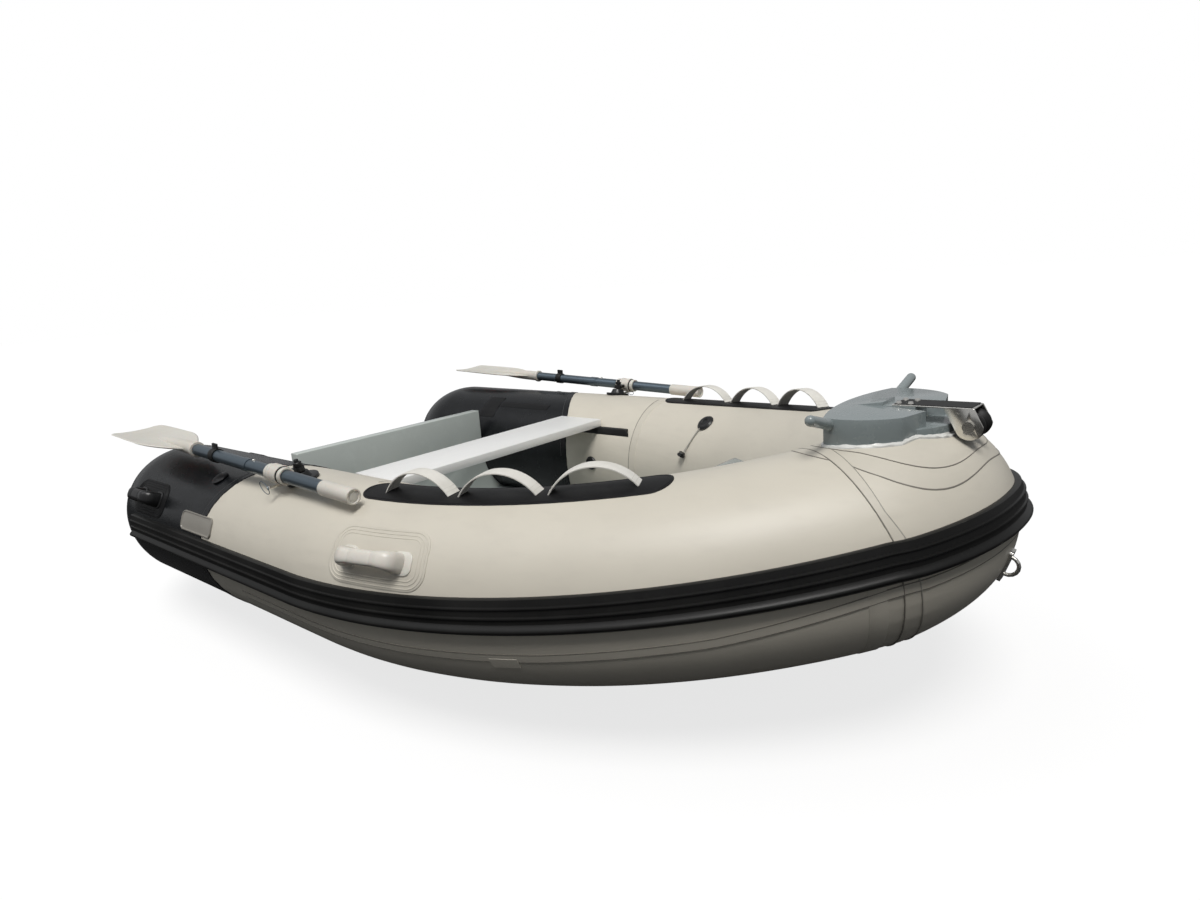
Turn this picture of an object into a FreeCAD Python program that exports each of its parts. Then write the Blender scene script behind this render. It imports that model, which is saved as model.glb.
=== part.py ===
import FreeCAD, Part
import math
import os
from FreeCAD import Vector

# Rigid-hulled inflatable tender, millimetres.
# X runs towards the bow, Y to port, Z up. The boat stands on its flat keel band,
# and the origin lies on the floor under the middle of its length and beam.
# Stations along a side tube are measured from the shoulder of its stern cone.

# Buoyancy tubes
tube_radius = 212.0
half_spacing = 605.0
tube_clearance = 110.0
straight_length = 1018.0
bend_length = 1062.0
seam_half_width = 150.0
seam_rise = 95.0
bow_length = 52.0
bow_x = straight_length + bend_length + bow_length
bow_rise = 116.0
cone_length = 270.0
cone_tip_radius = 70.0
cone_tip_fillet = 16.0
cone_swell = 32.0
cone_chords = 6
colour_joint_station = 632.0
colour_joint_angle = 31.0
seat_gap = 0.3
bow_tube_spans = 7

# Rubbing strake
strake_height = 76.0
strake_depth = 12.0
strake_rib = 4.0
strake_lobe_swell = 16.0
strake_top_angle_side = 12.0
strake_top_angle_bow = 22.0
strake_start = 30.0

# Moulded hull and deck
keel_half_width = 36.0
keel_band_depth = 8.0
keel_start = 262.0
keel_flat_setback = 632.0
stem_setback = 47.0
keel_flat_end = bow_x - keel_flat_setback
stem_end = bow_x - stem_setback
stem_rise = 215.0
chine_angle = 58.0
stem_chine_half_width = 56.0
hull_lap = 22.0
deck_height = 152.0
deck_thickness = 14.0
locker_rise = 112.0
locker_corner = 36.0

# Transom and motor pads
transom_station = 300.0
transom_thickness = 40.0
transom_top_rise = 164.0
motor_pad_width = 260.0
motor_pad_height = 170.0
motor_pad_thickness = 8.0
motor_pad_drop = 10.0
drain_radius = 12.5
drain_height = 176.0
drain_flange_radius = 24.0
drain_flange_thickness = 4.0
tow_eye_offset = 330.0
tow_eye_height = 250.0
tow_eye_wire = 4.0
tow_eye_radius = 17.0
tow_eye_plate = 30.0
tow_eye_plate_thickness = 4.0
tow_eye_corner = 6.0
tow_eye_sink = 6.0
tow_eye_spans = 8

# Thwart and its rails
thwart_station = 810.0
thwart_width = 190.0
thwart_thickness = 26.0
thwart_wall = 3.0
thwart_lip = 7.0
thwart_bays = 4
thwart_end_inset = 167.0
thwart_half_length = half_spacing - thwart_end_inset
thwart_rise = 160.0
rail_start = 600.0
rail_end = 1052.0
rail_height = 44.0
rail_depth = 16.0
rail_slope = 26.0

# Bow step: stations ahead of the crest of the bow tube, heights above the axis of the tubes at the stern
step_aft = -132.0
step_aft_corner = -100.0
step_bulge = -27.0
step_front_corner = 40.0
step_front = 58.0
step_half_width = 184.0
step_front_half_width = 135.0
step_top_rise = 359.0
slot_half_width = 60.0
slot_start = -28.0
slot_start_half_width = 36.0
shelf_end = 28.0
shelf_rise = 360.0
sill_shoulder = 53.0
sill_front = 94.0
sill_rise = 328.0
sill_half_width = 95.0
wedge_start = -92.0
wedge_end = -38.0
wedge_rise = 367.0
wedge_half_width = 34.0
horn_station = -86.0
horn_rise = 346.0
horn_radius = 11.0
horn_length = 88.0
horn_slope = 16.0

# Anchor roller
bracket_start = -20.0
bracket_width = 66.0
bracket_sheet = 3.0
bracket_wrap_angle = 14.0
cheek_radius = 27.0
cheek_tail = 50.0
cheek_heel_angle = 215.0
roller_station = 130.0
roller_rise = 326.5
roller_flare_radius = 28.5
roller_waist_radius = 15.0
roller_length = 50.0
roller_rim = 6.0
roller_waist_half = 8.0
axle_radius = 6.0
axle_clearance = 0.08
axle_nut_radius = 11.0
axle_nut_length = 7.0

# Webbing grab handles on their long patches
grab_starts = (1163.0, 1385.0, 1607.0)
grab_length = 192.0
grab_rise = 50.0
grab_webbing = 4.0
grab_width = 40.0
grab_angle = 87.0
grab_patch_start = 1080.0
grab_patch_end = 1872.0
grab_patch_half_angle = 15.0
patch_thickness = 1.5
foot_depth = 8.0

# Moulded lifting handles and blank side plates
lift_station = 1262.0
lift_angle = 31.0
lift_length = 176.0
lift_height = 34.0
lift_bar = 24.0
lift_patch_length = 262.0
lift_patch_angle = 33.5
lift_patch_half_angle = 18.0
lift_patch_corner = 44.0
stern_handle_station = 130.0
stern_handle_angle = 29.0
stern_handle_length = 140.0
stern_patch_length = 226.0
stern_patch_half_angle = 14.5
side_plate_station = 475.0
side_plate_angle = 21.5
side_plate_length = 190.0
side_plate_half_angle = 7.5
side_plate_corner = 16.0
side_plate_thickness = 2.5

# Rowlocks
rowlock_station = 815.0
rowlock_angle = 78.0
rowlock_base_radius = 42.0
rowlock_base_height = 7.0
rowlock_block_foot_radius = 26.0
rowlock_block_radius = 19.0
rowlock_block_height = 15.0
rowlock_pin_radius = 6.0
rowlock_pin_clearance = 0.08
rowlock_pin_length = 50.0
yoke_height = 14.0
yoke_radius = 14.0
yoke_gap = 1.0
yoke_arm = 16.0
yoke_arm_height = 10.0
yoke_wall = 4.0
yoke_play = 1.0

# Oars
oar_reach = 258.0
oar_angle = 66.0
oar_pitch = 2.4
shaft_radius = 17.0
shaft_aft = 473.0
shaft_joint = 150.0
sleeve_radius = 18.5
sleeve_length = 30.0
shaft_forward = 211.0
collar_half = 40.0
collar_flange_radius = 22.5
collar_flange_length = 14.0
collar_waist_radius = 19.5
grip_radius = 19.5
grip_length = 126.0
grip_recess = 4.0
grip_wall = 5.0
blade_length = 470.0
blade_socket = 52.0
blade_half_width = 84.0
blade_thickness = 8.0
blade_cup = 16.0
blade_rib_radius = 19.5
strap_offset = 352.0
strap_width = 26.0
strap_thickness = 3.0
strap_fold = 16.0
keeper_radius = 24.0
keeper_height = 5.0
keeper_angle = 60.0

# Valves and bow ring
valve_station = 1395.0
valve_angle = 128.0
valve_radius = 24.0
valve_height = 7.0
valve_rim = 11.0
valve_well_depth = 5.0
low_valve_station = 884.0
low_valve_angle = 178.0
low_valve_radius = 20.0
bow_eye_angle = -20.0
bow_eye_radius = 20.0

overrun = 30.0

STARBOARD = -1
PORT = 1
SIDES = {"starboard": STARBOARD, "port": PORT}
axis_height = tube_clearance + tube_radius


class Bend:
    """Arc in a tilted plane, from a start point and heading to a point that lies off to one side."""

    def __init__(self, start, heading, forward, sideways):
        self.start = start
        self.heading = heading
        self.inward = Vector(sideways).normalize()
        self.turn = 2 * math.atan(sideways.Length / forward)
        self.radius = forward / math.sin(self.turn)
        self.centre = start + self.inward * self.radius
        self.axis = heading.cross(self.inward)

    def point(self, turn):
        ahead = self.heading * (self.radius * math.sin(turn))
        return self.centre + ahead - self.inward * (self.radius * math.cos(turn))

    def direction(self, turn):
        return self.heading * math.cos(turn) + self.inward * math.sin(turn)

    def tube(self, first, last, radius):
        """Round tube along the arc between two turns."""
        section = Part.Wire(Part.makeCircle(radius, self.point(first), self.direction(first)))
        return Part.Face(section).revolve(self.centre, self.axis, math.degrees(last - first))


def side_bend(side):
    """Centreline of the tube from the end of its straight part to the bow seam."""
    start = Vector(straight_length, side * half_spacing, axis_height)
    sideways = Vector(0, side * (seam_half_width - half_spacing), seam_rise)
    return Bend(start, Vector(1, 0, 0), bend_length, sideways)


def bow_bend(side):
    """Centreline of the bow tube from its crest back to the seam on one side."""
    start = Vector(bow_x, 0, axis_height + bow_rise)
    sideways = Vector(-bow_length, 0, seam_rise - bow_rise)
    return Bend(start, Vector(0, side, 0), seam_half_width, sideways)


seam_station = straight_length + side_bend(PORT).radius * side_bend(PORT).turn
bow_station = seam_station + bow_bend(PORT).radius * bow_bend(PORT).turn


class Frame:
    """Cross-section plane of a side tube: centre, forward, outboard and upward directions."""

    def __init__(self, station, side, past_seam=False):
        if station <= straight_length:
            self.centre = Vector(station, side * half_spacing, axis_height)
            self.forward = Vector(1, 0, 0)
        elif not past_seam:
            bend = side_bend(side)
            turn = (station - straight_length) / bend.radius
            self.centre = bend.point(turn)
            self.forward = bend.direction(turn)
        else:
            bend = bow_bend(side)
            turn = (bow_station - station) / bend.radius
            self.centre = bend.point(turn)
            self.forward = bend.direction(turn) * -1
        self.outboard = self.forward.cross(Vector(0, 0, -side)).normalize()
        self.up = self.outboard.cross(self.forward) * -side

    def normal(self, degrees):
        angle = math.radians(degrees)
        return self.outboard * math.cos(angle) + self.up * math.sin(angle)

    def point(self, degrees, lift=0.0):
        return self.centre + self.normal(degrees) * (tube_radius + lift)


def seam_frame(side):
    """Plane of the bow seam, half way between the headings of the two tubes that meet there."""
    frame = Frame(seam_station, side)
    ahead = Frame(seam_station, side, True)
    frame.forward = (frame.forward + ahead.forward).normalize()
    frame.outboard = frame.forward.cross(Vector(0, 0, -side)).normalize()
    frame.up = frame.outboard.cross(frame.forward) * -side
    return frame


def ahead_of_seam(side):
    """Half-space in front of the bow seam."""
    size = 8 * tube_radius
    block = Part.makeBox(size, size, size, Vector(0, -size / 2, -size / 2))
    frame = seam_frame(side)
    block.Placement = FreeCAD.Placement(frame.centre, FreeCAD.Rotation(Vector(1, 0, 0), frame.forward))
    return block


def ruled(wires):
    return Part.makeLoft(wires, True, True)


def spread(first, last, count):
    return [first + (last - first) * i / (count - 1) for i in range(count)]


def ring(frame, extra):
    """Full round section of a tube, in two arcs."""
    low = frame.point(-90, extra)
    high = frame.point(90, extra)
    outer = Part.Arc(low, frame.point(0, extra), high).toShape()
    inner = Part.Arc(high, frame.point(180, extra), low).toShape()
    return Part.Wire([outer, inner])


def bow_frames(count):
    """Sections of the bow tube from the starboard seam round to the port seam."""
    stations = spread(seam_station, bow_station, count)
    starboard = [Frame(station, STARBOARD, True) for station in stations]
    port = [Frame(station, PORT, True) for station in reversed(stations[:-1])]
    starboard[0] = seam_frame(STARBOARD)
    port[-1] = seam_frame(PORT)
    return starboard + port


def straight_tube(side, first, last, extra=0.0):
    start = Vector(first, side * half_spacing, axis_height)
    return Part.makeCylinder(tube_radius + extra, last - first, start, Vector(1, 0, 0))


def bent_tube(side, extra=0.0):
    bend = side_bend(side)
    last = bend.turn + overrun / bend.radius
    return bend.tube(0, last, tube_radius + extra).cut(ahead_of_seam(side))


def bow_tube(extra=0.0):
    """Bow tube in short spans between round sections."""
    return ruled([ring(frame, extra) for frame in bow_frames(bow_tube_spans + 1)])


def colour_joint_cutter(side):
    """Half-space aft of the slanted joint between the dark stern and the pale side."""
    size = 8 * tube_radius
    block = Part.makeBox(size, 2 * size, size)
    block.translate(Vector(-size, -size, -size / 2))
    block.rotate(Vector(0, 0, 0), Vector(0, 0, 1), side * colour_joint_angle)
    block.translate(Vector(colour_joint_station, side * half_spacing, axis_height))
    return block


def stern_cone(side):
    """Cone behind the shoulder, its flank in short frusta that follow an arc, with a rounded tip."""
    slope = (tube_radius - cone_tip_radius) / cone_length
    points = [Vector(0, 0, 0)]
    for i in range(cone_chords + 1):
        run = i / cone_chords
        swell = 4 * cone_swell * run * (1 - run)
        radius = tube_radius + (cone_tip_radius - tube_radius) * run + swell
        points.append(Vector(-cone_length * run - swell * slope / 2, radius, 0))
    points.append(Vector(-cone_length, 0, 0))
    cone = Part.Face(Part.makePolygon(points + points[:1])).revolve(Vector(0, 0, 0), Vector(1, 0, 0), 360)
    tip = min(cone.Faces, key=lambda face: face.BoundBox.XMax)
    cone = cone.makeFillet(cone_tip_fillet, tip.Edges[:1])
    return cone.translated(Vector(0, side * half_spacing, axis_height))


def tube_stern(side):
    body = straight_tube(side, 0, straight_length).common(colour_joint_cutter(side))
    return body.fuse(stern_cone(side)).removeSplitter()


def tube_side(side):
    body = straight_tube(side, 0, straight_length).cut(colour_joint_cutter(side))
    return body.fuse(bent_tube(side)).removeSplitter()


# Rubbing strake: two thin ribs over a round lower lobe
strake_rib_shares = ((0.22, 0.30), (0.46, 0.54))
strake_rib_flank_share = 0.02
strake_band_share = 0.66
strake_chamfer_share = 0.05
strake_lobe_chords = 6
strake_bend_spans = 24


def strake_top_angle(station):
    run = max(station - straight_length, 0.0) / (bow_station - straight_length)
    return strake_top_angle_side + (strake_top_angle_bow - strake_top_angle_side) * run


def strake_profile():
    """Share of the height and depth of each corner, from the top edge down."""
    profile = [(0.0, 0.0), (strake_chamfer_share, strake_depth)]
    for first, last in strake_rib_shares:
        profile.append((first, strake_depth))
        profile.append((first + strake_rib_flank_share, strake_depth + strake_rib))
        profile.append((last - strake_rib_flank_share, strake_depth + strake_rib))
        profile.append((last, strake_depth))
    for i in range(strake_lobe_chords + 1):
        run = i / strake_lobe_chords
        depth = strake_depth * (1 - run) + strake_lobe_swell * math.sin(math.pi * run)
        profile.append((strake_band_share + (1 - strake_band_share) * run, depth))
    return profile


def strake_section(frame, top_angle, lift=seat_gap):
    points = []
    for share, depth in strake_profile():
        degrees = top_angle - math.degrees(strake_height * share / tube_radius)
        points.append(frame.point(degrees, lift + depth))
    back = [top_angle - math.degrees(strake_height * share / tube_radius) for share in (1.0, 0.0)]
    middle = frame.point(sum(back) / 2, lift)
    return Part.Wire(Part.makePolygon(points).Edges + [Part.Arc(points[-1], middle, points[0]).toShape()])


def strake_side(side):
    stations = spread(straight_length, seam_station, strake_bend_spans + 1)
    frames = [Frame(station, side) for station in [strake_start] + stations[:-1]] + [seam_frame(side)]
    angles = [strake_top_angle(station) for station in [strake_start] + stations]
    bend = side_bend(side)
    sag = (bend.radius + tube_radius) * (1 - math.cos(bend.turn / (2 * strake_bend_spans)))
    return ruled([strake_section(frame, angle, seat_gap + sag) for frame, angle in zip(frames, angles)])


def strake_bow():
    stations = spread(seam_station, bow_station, bow_tube_spans + 1)
    angles = [strake_top_angle(station) for station in stations]
    angles = angles + angles[-2::-1]
    frames = bow_frames(bow_tube_spans + 1)
    return ruled([strake_section(frame, angle) for frame, angle in zip(frames, angles)])


def bulge(start, crest, end):
    """Shallow curve through three points."""
    curve = Part.BezierCurve()
    curve.setPoles([start, crest * 2 - (start + end) * 0.5, end])
    return curve.toShape()


# Patches and pads that lie on a tube
cap_angles = (10.0, 24.0, 38.0, 54.0, 72.0, 90.0)
patch_spans = 12


def shell_patch(side, first, last, centre_angle, half_angle, corner, thickness):
    """Thin sheet with rounded corners that follows the tube, laid on it."""
    wide = math.radians(half_angle) * tube_radius
    head = []
    for degrees in cap_angles:
        turn = math.radians(degrees)
        narrowed = wide - corner * (1 - math.sin(turn))
        head.append((first + corner * (1 - math.cos(turn)), math.degrees(narrowed / tube_radius)))
    between = spread(first + corner, last - corner, patch_spans + 1)
    middle = [(station, half_angle) for station in between[1:-1]]
    tail = [(first + last - station, width) for station, width in reversed(head)]
    sections = []
    for station, width in head + middle + tail:
        sections.append(patch_section(Frame(station, side), centre_angle, width, seat_gap, thickness))
    return ruled(sections)


def patch_section(frame, centre_angle, half_angle, lift, thickness):
    low_in = frame.point(centre_angle - half_angle, lift)
    low_out = frame.point(centre_angle - half_angle, lift + thickness)
    high_in = frame.point(centre_angle + half_angle, lift)
    high_out = frame.point(centre_angle + half_angle, lift + thickness)
    outer = bulge(low_out, frame.point(centre_angle, lift + thickness), high_out)
    inner = bulge(high_in, frame.point(centre_angle, lift), low_in)
    return Part.Wire([Part.makeLine(low_in, low_out), outer, Part.makeLine(high_out, high_in), inner])


def place(shape, frame, degrees, lift):
    """Puts a piece modelled about the origin on a tube: X forward, Z away from the tube."""
    normal = frame.normal(degrees)
    across = normal.cross(frame.forward)
    matrix = FreeCAD.Matrix(
        frame.forward.x, across.x, normal.x, 0,
        frame.forward.y, across.y, normal.y, 0,
        frame.forward.z, across.z, normal.z, 0,
        0, 0, 0, 1)
    moved = shape.copy()
    moved.Placement = FreeCAD.Placement(matrix).multiply(moved.Placement)
    moved.translate(frame.point(degrees, lift))
    return moved


def rounded_plate(length, width, height, corner):
    plate = Part.makeBox(length, width, height, Vector(-length / 2, -width / 2, 0))
    upright = [edge for edge in plate.Edges if edge.BoundBox.ZLength > height / 2]
    return plate.makeFillet(corner, upright)


def seat(body, side, clearance=seat_gap):
    """Trims the underside of a piece to the side tube that it stands on."""
    body = body.cut(straight_tube(side, 0, straight_length, clearance))
    body = body.cut(bent_tube(side, clearance))
    return max(body.Solids, key=lambda solid: solid.Volume)


def foot(first, last):
    """Three sides of a foot that goes down from the XY plane."""
    drop = Vector(0, 0, -foot_depth)
    corners = [Vector(first, 0, 0), Vector(last, 0, 0)]
    return Part.makePolygon([corners[0], corners[0] + drop, corners[1] + drop, corners[1]])


def grab_handle():
    """One arch of stiff webbing that springs from the XY plane."""
    reach = grab_length / 2
    slope = 2 * math.atan(grab_rise / reach)
    inner = reach - grab_webbing / math.sin(slope)
    crest = Vector(0, 0, grab_rise)
    sheet = Vector(0, 0, grab_webbing)
    outer_arc = Part.Arc(Vector(-reach, 0, 0), crest, Vector(reach, 0, 0)).toShape()
    inner_arc = Part.Arc(Vector(inner, 0, 0), crest - sheet, Vector(-inner, 0, 0)).toShape()
    outline = Part.Wire([outer_arc] + foot(reach, inner).Edges + [inner_arc] + foot(-inner, -reach).Edges)
    return Part.Face(outline).extrude(Vector(0, grab_width, 0)).translated(Vector(0, -grab_width / 2, 0))


def grab_handles():
    pieces = []
    on_patch = 2 * seat_gap + patch_thickness
    for side in SIDES.values():
        for start in grab_starts:
            frame = Frame(start + grab_length / 2, side)
            pieces.append(seat(place(grab_handle(), frame, grab_angle, on_patch), side, on_patch))
    return Part.makeCompound(pieces)


def grab_patches():
    first = grab_patch_start
    last = grab_patch_end
    corner = math.radians(grab_patch_half_angle) * tube_radius
    pieces = []
    for side in SIDES.values():
        patch = shell_patch(side, first, last, grab_angle, grab_patch_half_angle, corner, patch_thickness)
        pieces.append(patch)
    return Part.makeCompound(pieces)


handle_shoulder_share = 0.93
handle_shoulder_rise_share = 0.72


def moulded_handle(length, bar, rise):
    """Handle with two solid feet and a thick bar that bows away from the tube."""
    reach = length / 2
    hollow = reach - bar
    shoulder = Vector(reach * handle_shoulder_share, 0, rise * handle_shoulder_rise_share)
    far_shoulder = Vector(-shoulder.x, 0, shoulder.z)
    outer_arc = Part.Arc(far_shoulder, Vector(0, 0, rise), shoulder).toShape()
    under = Vector(0, 0, rise - bar / 2)
    inner_arc = Part.Arc(Vector(hollow, 0, 0), under, Vector(-hollow, 0, 0)).toShape()
    right = [Part.makeLine(shoulder, Vector(reach, 0, 0))] + foot(reach, hollow).Edges
    left = foot(-hollow, -reach).Edges + [Part.makeLine(Vector(-reach, 0, 0), far_shoulder)]
    outline = Part.Wire([outer_arc] + right + [inner_arc] + left)
    body = Part.Face(outline).extrude(Vector(0, bar, 0))
    return body.translated(Vector(0, -bar / 2, 0))


def handles(station, degrees, length):
    pieces = []
    on_patch = 2 * seat_gap + patch_thickness
    for side in SIDES.values():
        handle = moulded_handle(length, lift_bar, lift_height + lift_bar / 2)
        body = place(handle, Frame(station, side), degrees, on_patch)
        pieces.append(seat(body, side, on_patch))
    return Part.makeCompound(pieces)


def handle_patches():
    rows = ((lift_station, lift_patch_length, lift_patch_angle, lift_patch_half_angle),
            (stern_handle_station, stern_patch_length, stern_handle_angle, stern_patch_half_angle))
    pieces = []
    for side in SIDES.values():
        for station, length, degrees, half in rows:
            first = station - length / 2
            last = first + length
            patch = shell_patch(side, first, last, degrees, half, lift_patch_corner, patch_thickness)
            pieces.append(patch)
    return Part.makeCompound(pieces)


def side_plates():
    first = side_plate_station - side_plate_length / 2
    last = first + side_plate_length
    pieces = []
    for side in SIDES.values():
        plate = shell_patch(side, first, last, side_plate_angle, side_plate_half_angle, side_plate_corner,
                            side_plate_thickness)
        pieces.append(plate)
    return Part.makeCompound(pieces)


# Hull
flat_sections = 4
stem_sections = 7
sections_ahead_of_locker = 2
hull_stations = spread(transom_station, keel_flat_end, flat_sections)
hull_stations = hull_stations + spread(keel_flat_end, stem_end, stem_sections)[1:]


def keel_height(x):
    run = max(x - keel_flat_end, 0.0) / (stem_end - keel_flat_end)
    return keel_band_depth + stem_rise * run * run


def station_of(x):
    if x <= straight_length:
        return x
    bend = side_bend(PORT)
    return straight_length + bend.radius * math.asin((x - straight_length) / bend.radius)


def hull_top(x):
    rise = Frame(station_of(x), PORT).centre.z - axis_height
    return deck_height - deck_thickness - seat_gap + rise


def hull_section(x):
    """Flat keel, one chine under each tube and a level top, as a closed outline."""
    tube = Frame(station_of(x), PORT)
    chine = math.radians(chine_angle)
    chine_z = tube.centre.z - tube_radius * math.sin(chine)
    chine_y = max(tube.centre.y - tube_radius * math.cos(chine), stem_chine_half_width)
    keel = keel_height(x)
    top = hull_top(x)
    half = [(keel_half_width, keel), (chine_y, chine_z), (chine_y + hull_lap, top + hull_lap)]
    port = [Vector(x, y, z) for y, z in half]
    starboard = [Vector(x, -y, z) for y, z in reversed(half)]
    return Part.makePolygon(port + starboard + port[:1])


def across_tubes(outline):
    """Solid between the side tubes from an outline in the plane of symmetry."""
    points = [Vector(x, -half_spacing, z) for x, z in outline]
    slab = Part.Face(Part.makePolygon(points + points[:1])).extrude(Vector(0, 2 * half_spacing, 0))
    return trim_to_tubes(slab)


def trim_to_tubes(body):
    body = body.cut(tubes_with_gap())
    return max(body.Solids, key=lambda solid: solid.Volume)


def tubes_with_gap():
    solids = []
    for side in (STARBOARD, PORT):
        straight = straight_tube(side, -cone_length, straight_length, seat_gap)
        solids.append(straight.fuse(bent_tube(side, seat_gap)).removeSplitter())
    solids.append(bow_tube(seat_gap))
    return solids


def hull_shell():
    hull = Part.makeLoft([hull_section(x) for x in hull_stations], True, True)
    points = [Vector(x, -half_spacing, hull_top(x)) for x in hull_stations]
    lid = points + [Vector(x, -half_spacing, 2 * axis_height) for x in (stem_end, transom_station)]
    above = Part.Face(Part.makePolygon(lid + lid[:1])).extrude(Vector(0, 2 * half_spacing, 0))
    hull = hull.cut(above)
    for tube in tubes_with_gap():
        hull = hull.cut(tube)
    return max(hull.Solids, key=lambda solid: solid.Volume)


def deck():
    xs = [x for x in hull_stations if x < keel_flat_end] + [keel_flat_end - seat_gap]
    low = [(x, hull_top(x) + seat_gap) for x in xs]
    high = [(x, z + deck_thickness) for x, z in reversed(low)]
    return across_tubes(low + high)


def bow_locker():
    """Moulded locker that fills the bow ahead of the deck, with a rounded aft edge."""
    xs = [x for x in hull_stations if x >= keel_flat_end][:-sections_ahead_of_locker]
    outline = [(x, hull_top(x) + seat_gap) for x in xs]
    top = axis_height + locker_rise
    outline = outline + [(xs[-1], top), (xs[0], top)]
    body = across_tubes(outline)
    for edge in body.Edges:
        box = edge.BoundBox
        if box.XLength < seat_gap and box.ZMin > top - seat_gap and box.XMin < xs[0] + seat_gap:
            return body.makeFillet(locker_corner, [edge])
    return body


def keel_band():
    band = Part.makeBox(keel_flat_end - keel_start, 2 * keel_half_width, keel_band_depth - seat_gap)
    return band.translated(Vector(keel_start, -keel_half_width, 0))


# Transom
def transom():
    """Board between the tubes, with a veed lower edge and square upper corners."""
    aft = transom_station - transom_thickness - seat_gap
    top = axis_height + transom_top_rise
    inner = half_spacing - tube_radius - seat_gap
    chine = math.radians(chine_angle)
    chine_z = axis_height - tube_radius * math.sin(chine)
    chine_y = half_spacing - tube_radius * math.cos(chine)
    low = Vector(aft, keel_half_width, keel_band_depth)
    corner = Vector(aft, chine_y, chine_z)
    upper = [(chine_y + hull_lap, axis_height), (inner, axis_height), (inner, top)]
    right = [low, corner] + [Vector(aft, y, z) for y, z in upper]
    left = [Vector(aft, -point.y, point.z) for point in reversed(right)]
    board = Part.Face(Part.makePolygon(right + left + right[:1])).extrude(Vector(transom_thickness, 0, 0))
    drain = Part.makeCylinder(drain_radius, transom_thickness + 2 * overrun,
                              Vector(aft - overrun, 0, drain_height), Vector(1, 0, 0))
    return trim_to_tubes(board.cut(drain))


def motor_pad(x):
    top = axis_height + transom_top_rise - motor_pad_drop
    pad = rounded_plate(motor_pad_height, motor_pad_width, motor_pad_thickness, motor_pad_thickness * 2)
    pad.rotate(Vector(0, 0, 0), Vector(0, 1, 0), 90)
    pad.translate(Vector(x, 0, top - motor_pad_height / 2))
    return pad


def drain_bush():
    start = Vector(transom_station - transom_thickness - 2 * seat_gap, 0, drain_height)
    flange = Part.makeCylinder(drain_flange_radius, drain_flange_thickness, start, Vector(-1, 0, 0))
    return flange.cut(Part.makeCylinder(drain_radius, drain_flange_thickness, start, Vector(-1, 0, 0)))


def eye_on_plate(ring_radius):
    """U-shaped eye standing on a rounded plate that lies on the XY plane, its bow along X."""
    length = tow_eye_plate + 2 * ring_radius
    plate = rounded_plate(length, tow_eye_plate, tow_eye_plate_thickness, tow_eye_corner)
    sections = []
    for degrees in [-tow_eye_sink] + spread(0.0, 180.0, tow_eye_spans + 1) + [180.0 + tow_eye_sink]:
        turn = math.radians(degrees)
        outward = Vector(math.cos(turn), 0, math.sin(turn))
        along = Vector(-math.sin(turn), 0, math.cos(turn))
        centre = outward * ring_radius + Vector(0, 0, tow_eye_plate_thickness)
        sections.append(Part.Wire(Part.makeCircle(tow_eye_wire, centre, along)))
    return plate.fuse(ruled(sections)).removeSplitter()


def tow_eyes():
    pieces = []
    aft = transom_station - transom_thickness - 2 * seat_gap
    for side in SIDES.values():
        eye = eye_on_plate(tow_eye_radius)
        eye.rotate(Vector(0, 0, 0), Vector(0, 1, 0), -90)
        pieces.append(eye.translated(Vector(aft, side * tow_eye_offset, tow_eye_height)))
    return Part.makeCompound(pieces)


# Thwart
def thwart():
    """Extruded plank, open below, with lips along both long edges."""
    low = axis_height + thwart_rise - thwart_thickness
    aft = thwart_station - thwart_width / 2
    corner = Vector(aft, -thwart_half_length, low)
    board = Part.makeBox(thwart_width, 2 * thwart_half_length, thwart_thickness, corner)
    hollow_width = thwart_width - 2 * thwart_lip
    half = thwart_half_length - thwart_wall
    depth = thwart_thickness - thwart_wall
    start = aft + thwart_lip
    board = board.cut(Part.makeBox(hollow_width, 2 * half, depth, Vector(start, -half, low)))
    for i in range(1, thwart_bays):
        x = start + hollow_width * i / thwart_bays - thwart_wall / 2
        board = board.fuse(Part.makeBox(thwart_wall, 2 * half, depth, Vector(x, -half, low)))
    return board.removeSplitter()


def thwart_rails():
    """Rails on the inner faces of the tubes that the ends of the plank rest on."""
    top = axis_height + thwart_rise - thwart_thickness - seat_gap
    inner = thwart_half_length - rail_depth
    points = [Vector(rail_start, inner, top - rail_height), Vector(rail_end, inner, top - rail_height),
              Vector(rail_end - rail_slope, inner, top), Vector(rail_start + rail_slope, inner, top)]
    block = Part.Face(Part.makePolygon(points + points[:1])).extrude(Vector(0, tube_radius, 0))
    block = seat(block, PORT)
    return Part.makeCompound([block, block.mirror(Vector(0, 0, 0), Vector(0, 1, 0))])


# Bow step
def prism(edges, low, high):
    outline = Part.Face(Part.Wire(edges))
    return outline.extrude(Vector(0, 0, high - low)).translated(Vector(0, 0, low))


def step_body(low, high):
    """Block with a bowed aft edge, bulging sides, raked front corners and a slot in its nose."""
    aft_corner = Vector(step_aft_corner, step_half_width, 0)
    front_corner = Vector(step_front_corner, step_front_half_width, 0)
    nose = Vector(step_front, slot_half_width, 0)
    slot_back = Vector(slot_start, slot_start_half_width, 0)
    bulge = Vector(step_bulge, step_half_width, 0)

    def far(point):
        return Vector(point.x, -point.y, 0)

    edges = [Part.Arc(far(aft_corner), Vector(step_aft, 0, 0), aft_corner).toShape(),
             Part.Arc(aft_corner, bulge, front_corner).toShape(), Part.makeLine(front_corner, nose),
             Part.makeLine(nose, slot_back), Part.makeLine(slot_back, far(slot_back)),
             Part.makeLine(far(slot_back), far(nose)), Part.makeLine(far(nose), far(front_corner)),
             Part.Arc(far(front_corner), far(bulge), far(aft_corner)).toShape()]
    return prism(edges, low, high)


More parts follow.
